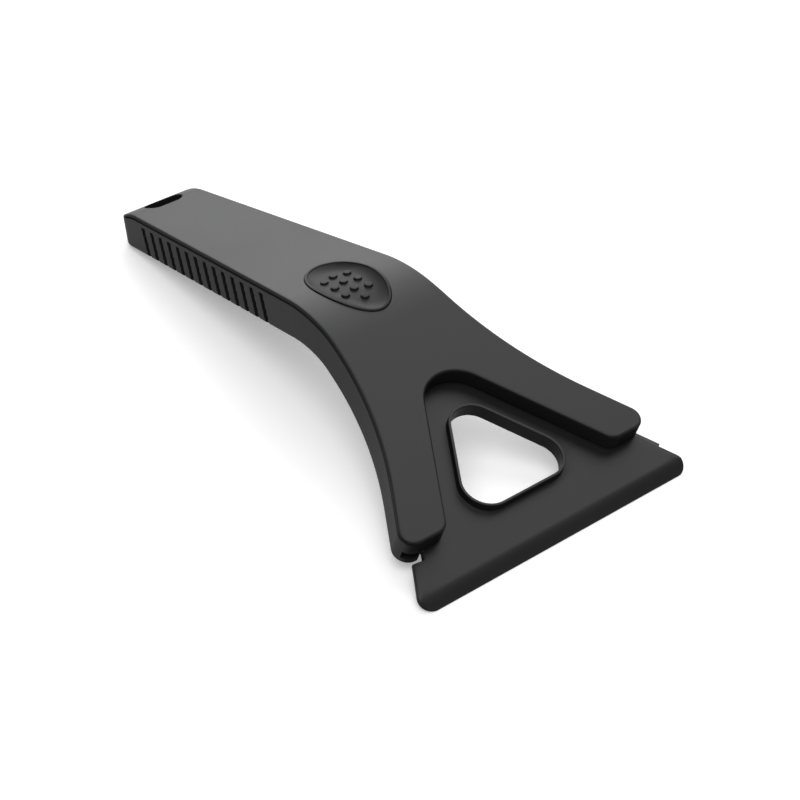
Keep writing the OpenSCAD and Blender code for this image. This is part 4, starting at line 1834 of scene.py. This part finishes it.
    def drilled(self, mesh: bpy.types.Mesh) -> bpy.types.Mesh:
        """Joins the screws' bosses to the shell, then cuts the heads' recesses and the shanks' holes.

        Args:
            mesh: the shell without them.

        Returns:
            The finished mesh.
        """
        grip_v = -TOOL.depth_grip / 2 - self.screw_web
        x, y = self.front_boss
        places = [(side * x, y, self.seat_v, self.front_boss_r) for side in (-1, 1)]
        places += [(0.0, u, grip_v, self.boss_r) for u in self.grip_bosses]
        web, over = self.screw_web, self.overcut
        bosses = [(px, u, r, v - self.boss_drop, v + web) for px, u, v, r in places]
        heads = [(px, u, self.counterbore_r, -2 * TOOL.depth_grip, v) for px, u, v, _ in places]
        shanks = [(px, u, self.shank_r, v - over, v + web + over) for px, u, v, _ in places]
        shell = put_in("shell", mesh)
        for kind, spots in (("UNION", bosses), ("DIFFERENCE", heads), ("DIFFERENCE", shanks)):
            cutter = self.rod(spots)
            change = shell.modifiers.new(kind, "BOOLEAN")
            change.operation, change.solver, change.object = kind, "EXACT", cutter
            graph = bpy.context.evaluated_depsgraph_get()
            changed = bpy.data.meshes.new_from_object(shell.evaluated_get(graph))
            shell.modifiers.clear()
            shell.data = changed
            bpy.data.objects.remove(cutter)
        bpy.data.objects.remove(shell)
        changed.name = self.node
        changed.materials.clear()
        return changed


@dataclass
class ThumbPad(Piece):
    """Oval pad with a lip, a dished floor and rows of flat-topped pips.

    Attributes:
        seat_depth: depth of the pad's underside.
        wall_depth: depth of one more row on its wall, for even shading.
        lip_h: height of the lip over the tool's top.
        lip_r: radius of its edges.
        dish_depth: depth of the dish under the tool's top.
        dish_run: width of its slope.
        dish_power: how much steeper the slope starts than it ends.
        pip_h: height of a pip over the dish.
        pip_pitch: distance between the pips of a row.
        pip_row: distance between the rows.
        pip_shift: how far the outer rows are set back.
        pip_edge: radius of a pip's edge.
        pip_foot: radius of the round at its foot.
        pip_sunk: how far a pip reaches down into the pad.
    """

    RINGS = (0.0, 0.1, 0.25, 0.5, 0.75, 0.9)
    DISH_ROWS = 22

    node: str = "thumb_pad"
    body: str = "handle"
    look: Look = Look.PAD
    seat_depth: float = 3.0
    wall_depth: float = 1.0
    lip_h: float = 0.4
    lip_w: float = 1.05
    lip_r: float = 0.3
    dish_depth: float = 1.1
    dish_run: float = 5.6
    dish_power: float = 2.3
    pip_d: float = 2.7
    pip_h: float = 0.65
    pip_pitch: float = 5.5
    pip_row: float = 4.6
    pip_shift: float = 1.3
    pip_edge: float = 0.28
    pip_foot: float = 0.22
    pip_sunk: float = 0.5
    columns: int = 160
    pip_columns: int = 40

    def rows(self) -> list[tuple[float, float]]:
        """Section from the seat over the lip into the dish.

        The dish falls from the lip by its depth times 1 - (1 - t) to the dish_power, with t the share of its
        run.

        Returns:
            For each row how far it is drawn in and its height.
        """
        drawn, down = fillet(self.lip_r, 5)
        out = [(0.0, -self.seat_depth), (0.0, -self.wall_depth)]
        out += [(d, self.lip_h - h) for d, h in zip(drawn[::-1], down[::-1])]
        start = self.lip_h - self.lip_r
        out += [(self.lip_w - d, self.lip_h - h) for d, h in zip(drawn, down)]
        t = np.linspace(0, 1, self.DISH_ROWS)[1:]
        fall = (start + self.dish_depth) * (1 - (1 - t) ** self.dish_power)
        return out + list(zip(self.lip_w + self.dish_run * t, start - fall))

    def pip_centres(self) -> list[tuple[float, float]]:
        """Places of the pips: a middle row of four and two outer rows of three, set back.

        Returns:
            Their places across and along the tool.
        """
        centres = []
        for row, count in ((-1, 3), (0, 4), (1, 3)):
            places = (np.arange(count) - (count - 1) / 2) * self.pip_pitch + abs(row) * self.pip_shift
            centres += [(row * self.pip_row, TOOL.pad_u + place) for place in places]
        return centres

    def add_pip(self, sheets: Sheets, x: float, u: float) -> None:
        """Adds a pip: a round post with a hollow foot round, a rounded edge and a flat top.

        Args:
            sheets: where the grid goes.
            x: its place across.
            u: its place along the tool.
        """
        r, floor, foot = self.pip_d / 2, -self.dish_depth, self.pip_foot
        low, high = floor - self.pip_sunk, floor + self.pip_h
        b = np.radians([90, 60, 30, 0])
        drawn, down = fillet(self.pip_edge, 4)
        section = [(0.0, low), (r + foot, low)]
        section += list(zip(r + foot * (1 - np.cos(b)), floor + foot * (1 - np.sin(b))))
        section += [(r - d, high - h) for d, h in zip(drawn[::-1], down[::-1])]
        section += [(0.5 * r, high), (0.0, high)]
        a = around(self.pip_columns)
        rows = [TOOL.bent(x + s * np.cos(a), u + s * np.sin(a), np.full_like(a, v)) for s, v in section]
        sheets.grid(np.stack(rows), wrap=True)

    def mesh(self) -> bpy.types.Mesh:
        """Oval rings over the lip and down the dish, with its floor, its seat and the pips.

        Returns:
            The mesh.
        """
        egg, sheets = Egg(), Sheets()
        a = around(self.columns)
        plans = [(egg.at(a, -drawn), v) for drawn, v in self.rows()]
        middle = np.array([0.0, egg.centre])
        (seat, seat_v), (dish, dish_v) = plans[0], plans[-1]
        under = [(middle + (seat - middle) * t, seat_v) for t in self.RINGS]
        floor = [(middle + (dish - middle) * t, dish_v) for t in self.RINGS[::-1]]
        rows = [TOOL.above(p, np.full(len(p), v)) for p, v in [*under, *plans, *floor]]
        sheets.grid(np.stack(rows), wrap=True)
        for x, u in self.pip_centres():
            self.add_pip(sheets, x, u)
        return sheets.mesh(self.node, sharp=40)


# Assemblies


@dataclass
class Blade:
    """The plate and its soft strip, which slide out of the arms together."""

    plate: ScraperPlate = field(default_factory=ScraperPlate)
    strip: WiperStrip = field(default_factory=WiperStrip)

    def build(self) -> list[bpy.types.Object]:
        """Builds both pieces."""
        return [self.plate.build(), self.strip.build()]


@dataclass
class Handle:
    """The two halves of the body, the thumb pad and the screws."""

    cover: TopCover = field(default_factory=TopCover)
    shell: LowerShell = field(default_factory=LowerShell)
    pad: ThumbPad = field(default_factory=ThumbPad)

    def build(self) -> list[bpy.types.Object]:
        """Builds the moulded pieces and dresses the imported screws.

        Returns:
            The four objects.
        """
        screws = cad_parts["cover_screws"]
        screws.data.materials.clear()
        screws.data.materials.append(moulded(Look.SCREW.slot, Look.SCREW.finish))
        return [self.cover.build(), self.shell.build(), self.pad.build(), screws]


# Floor, lights and camera


@dataclass(frozen=True)
class Softbox:
    """A soft area light that faces the tool.

    Attributes:
        name: name of the light.
        azimuth: direction from the tool to it, in degrees from +Y towards +X.
        elevation: its height over the level, in degrees.
        distance: how far it stands, in metres.
        width: size across, in metres.
        height: size upwards, in metres.
        glow: brightness of its face; a white wall in even light has 1.
    """

    name: str
    azimuth: float
    elevation: float
    distance: float
    width: float
    height: float
    glow: float

    def build(self) -> None:
        """Makes the light; its power is glow times area times pi."""
        light = bpy.data.lights.new(self.name, "AREA")
        light.shape, light.size, light.size_y = "RECTANGLE", self.width, self.height
        light.energy = self.glow * self.width * self.height * math.pi
        lamp = put_in(self.name, light)
        a, e = math.radians(self.azimuth), math.radians(self.elevation)
        toward = Vector((math.sin(a) * math.cos(e), math.cos(a) * math.cos(e), math.sin(e)))
        lamp.location = self.distance * toward
        lamp.rotation_mode = "QUATERNION"
        lamp.rotation_quaternion = (-lamp.location).to_track_quat("-Z", "Y")


@dataclass(frozen=True)
class Studio:
    """Plain pale floor in a dim room, lit from behind and the right, with a fill on the camera's side.

    Attributes:
        floor_half: half the floor's side, in metres.
        floor_points: points along its side.
        floor_drop: how far it lies under the tool's lowest point, in metres.
        floor_shade: its base colour.
        floor_tone: its darkest tone, as a share of that.
        floor_drift: scale of the drift between them, per metre.
        floor_roughness: its roughness.
        floor_glow: brightness of its own, as of a lit table.
        surround: strength of the room's even light.
        lights: the softboxes.
    """

    floor_half: float = 6.0
    floor_points: int = 9
    floor_drop: float = 0.0001
    floor_shade: float = 0.86
    floor_tone: float = 0.995
    floor_drift: float = 3.0
    floor_roughness: float = 0.8
    floor_glow: float = 0.3
    surround: float = 0.2
    lights: tuple[Softbox, ...] = (
        Softbox("low_back", 33.0, 22.0, 1.2, 0.9, 0.5, 3.6),
        Softbox("high_right", 62.0, 52.0, 1.4, 1.3, 1.1, 2.0),
        Softbox("fill", 228.0, 64.0, 1.4, 1.4, 1.4, 2.3),
    )

    def build_floor(self) -> None:
        """Makes a flat grid under the tool, a little rough and nearly white."""
        count = self.floor_points
        steps = np.linspace(-self.floor_half, self.floor_half, count)
        x, y = np.meshgrid(steps, steps)
        points = np.stack([x, y, np.full_like(x, -self.floor_drop)], axis=-1).reshape(-1, 3)
        mesh = bpy.data.meshes.new("floor")
        mesh.from_pydata(points.tolist(), [], quads_of(np.arange(count**2).reshape(count, count)).tolist())
        graph = Graph("floor_paper")
        drift = graph.noise(graph.place(), self.floor_drift)
        dark, pale = (self.floor_shade * self.floor_tone,) * 3, (self.floor_shade,) * 3
        graph.dress(
            {
                "Base Color": graph.tinted(drift, dark, pale),
                "Roughness": self.floor_roughness,
                "Emission Color": WHITE,
                "Emission Strength": self.floor_glow,
            }
        )
        mesh.materials.append(graph.material)
        put_in("floor", mesh)

    def build_surround(self) -> None:
        """Even light from all round."""
        world = bpy.data.worlds.new("surround")
        world.use_nodes = True
        back = world.node_tree.nodes["Background"]
        back.inputs["Color"].default_value = WHITE
        back.inputs["Strength"].default_value = self.surround
        bpy.context.scene.world = world

    def build(self) -> None:
        """Builds the floor, the surround and the softboxes."""
        self.build_floor()
        self.build_surround()
        for light in self.lights:
            light.build()
        view = bpy.context.scene.view_settings
        view.view_transform, view.look = "Standard", "None"


@dataclass(frozen=True)
class Viewpoint:
    """The photograph's view of the tool, found by fitting the tool's sizes to it.

    Attributes:
        place: where the camera stands, in metres.
        azimuth: direction of its look, in degrees from +Y towards +X.
        elevation: its height over the level, in degrees.
        roll: how far it is turned about its line of sight, in degrees.
        lens: focal length, in millimetres.
        sensor: width of the sensor, in millimetres.
        clip: nearest and farthest distance that it sees, in metres.
    """

    place: tuple[float, float, float] = (-0.35697, -0.44761, 0.42899)
    azimuth: float = 40.605
    elevation: float = 37.618
    roll: float = 1.638
    lens: float = 99.0
    sensor: float = 36.0
    clip: tuple[float, float] = (0.05, 30.0)

    def build(self) -> None:
        """Makes the camera."""
        a, e, r = (math.radians(angle) for angle in (self.azimuth, self.elevation, self.roll))
        look = Vector((math.sin(a) * math.cos(e), math.cos(a) * math.cos(e), -math.sin(e)))
        level = Vector((math.cos(a), -math.sin(a), 0.0))
        rise = level.cross(look)
        right = level * math.cos(r) + rise * math.sin(r)
        up = right.cross(look)
        camera = bpy.data.cameras.new("camera")
        camera.lens, camera.sensor_width = self.lens, self.sensor
        camera.clip_start, camera.clip_end = self.clip
        stand = put_in("camera", camera)
        turn = Matrix((right, up, -look)).transposed().to_4x4()
        stand.matrix_world = Matrix.Translation(Vector(self.place)) @ turn
        bpy.context.scene.camera = stand


def main() -> None:
    """Builds the tool, then what stands round it."""
    logging.basicConfig(level=logging.INFO, format="%(name)s: %(message)s")
    for assembly in (Blade(), Handle()):
        for piece in assembly.build():
            log.info("%s is ready", piece.name)
    Studio().build()
    Viewpoint().build()


if __name__ == "__main__":
    main()
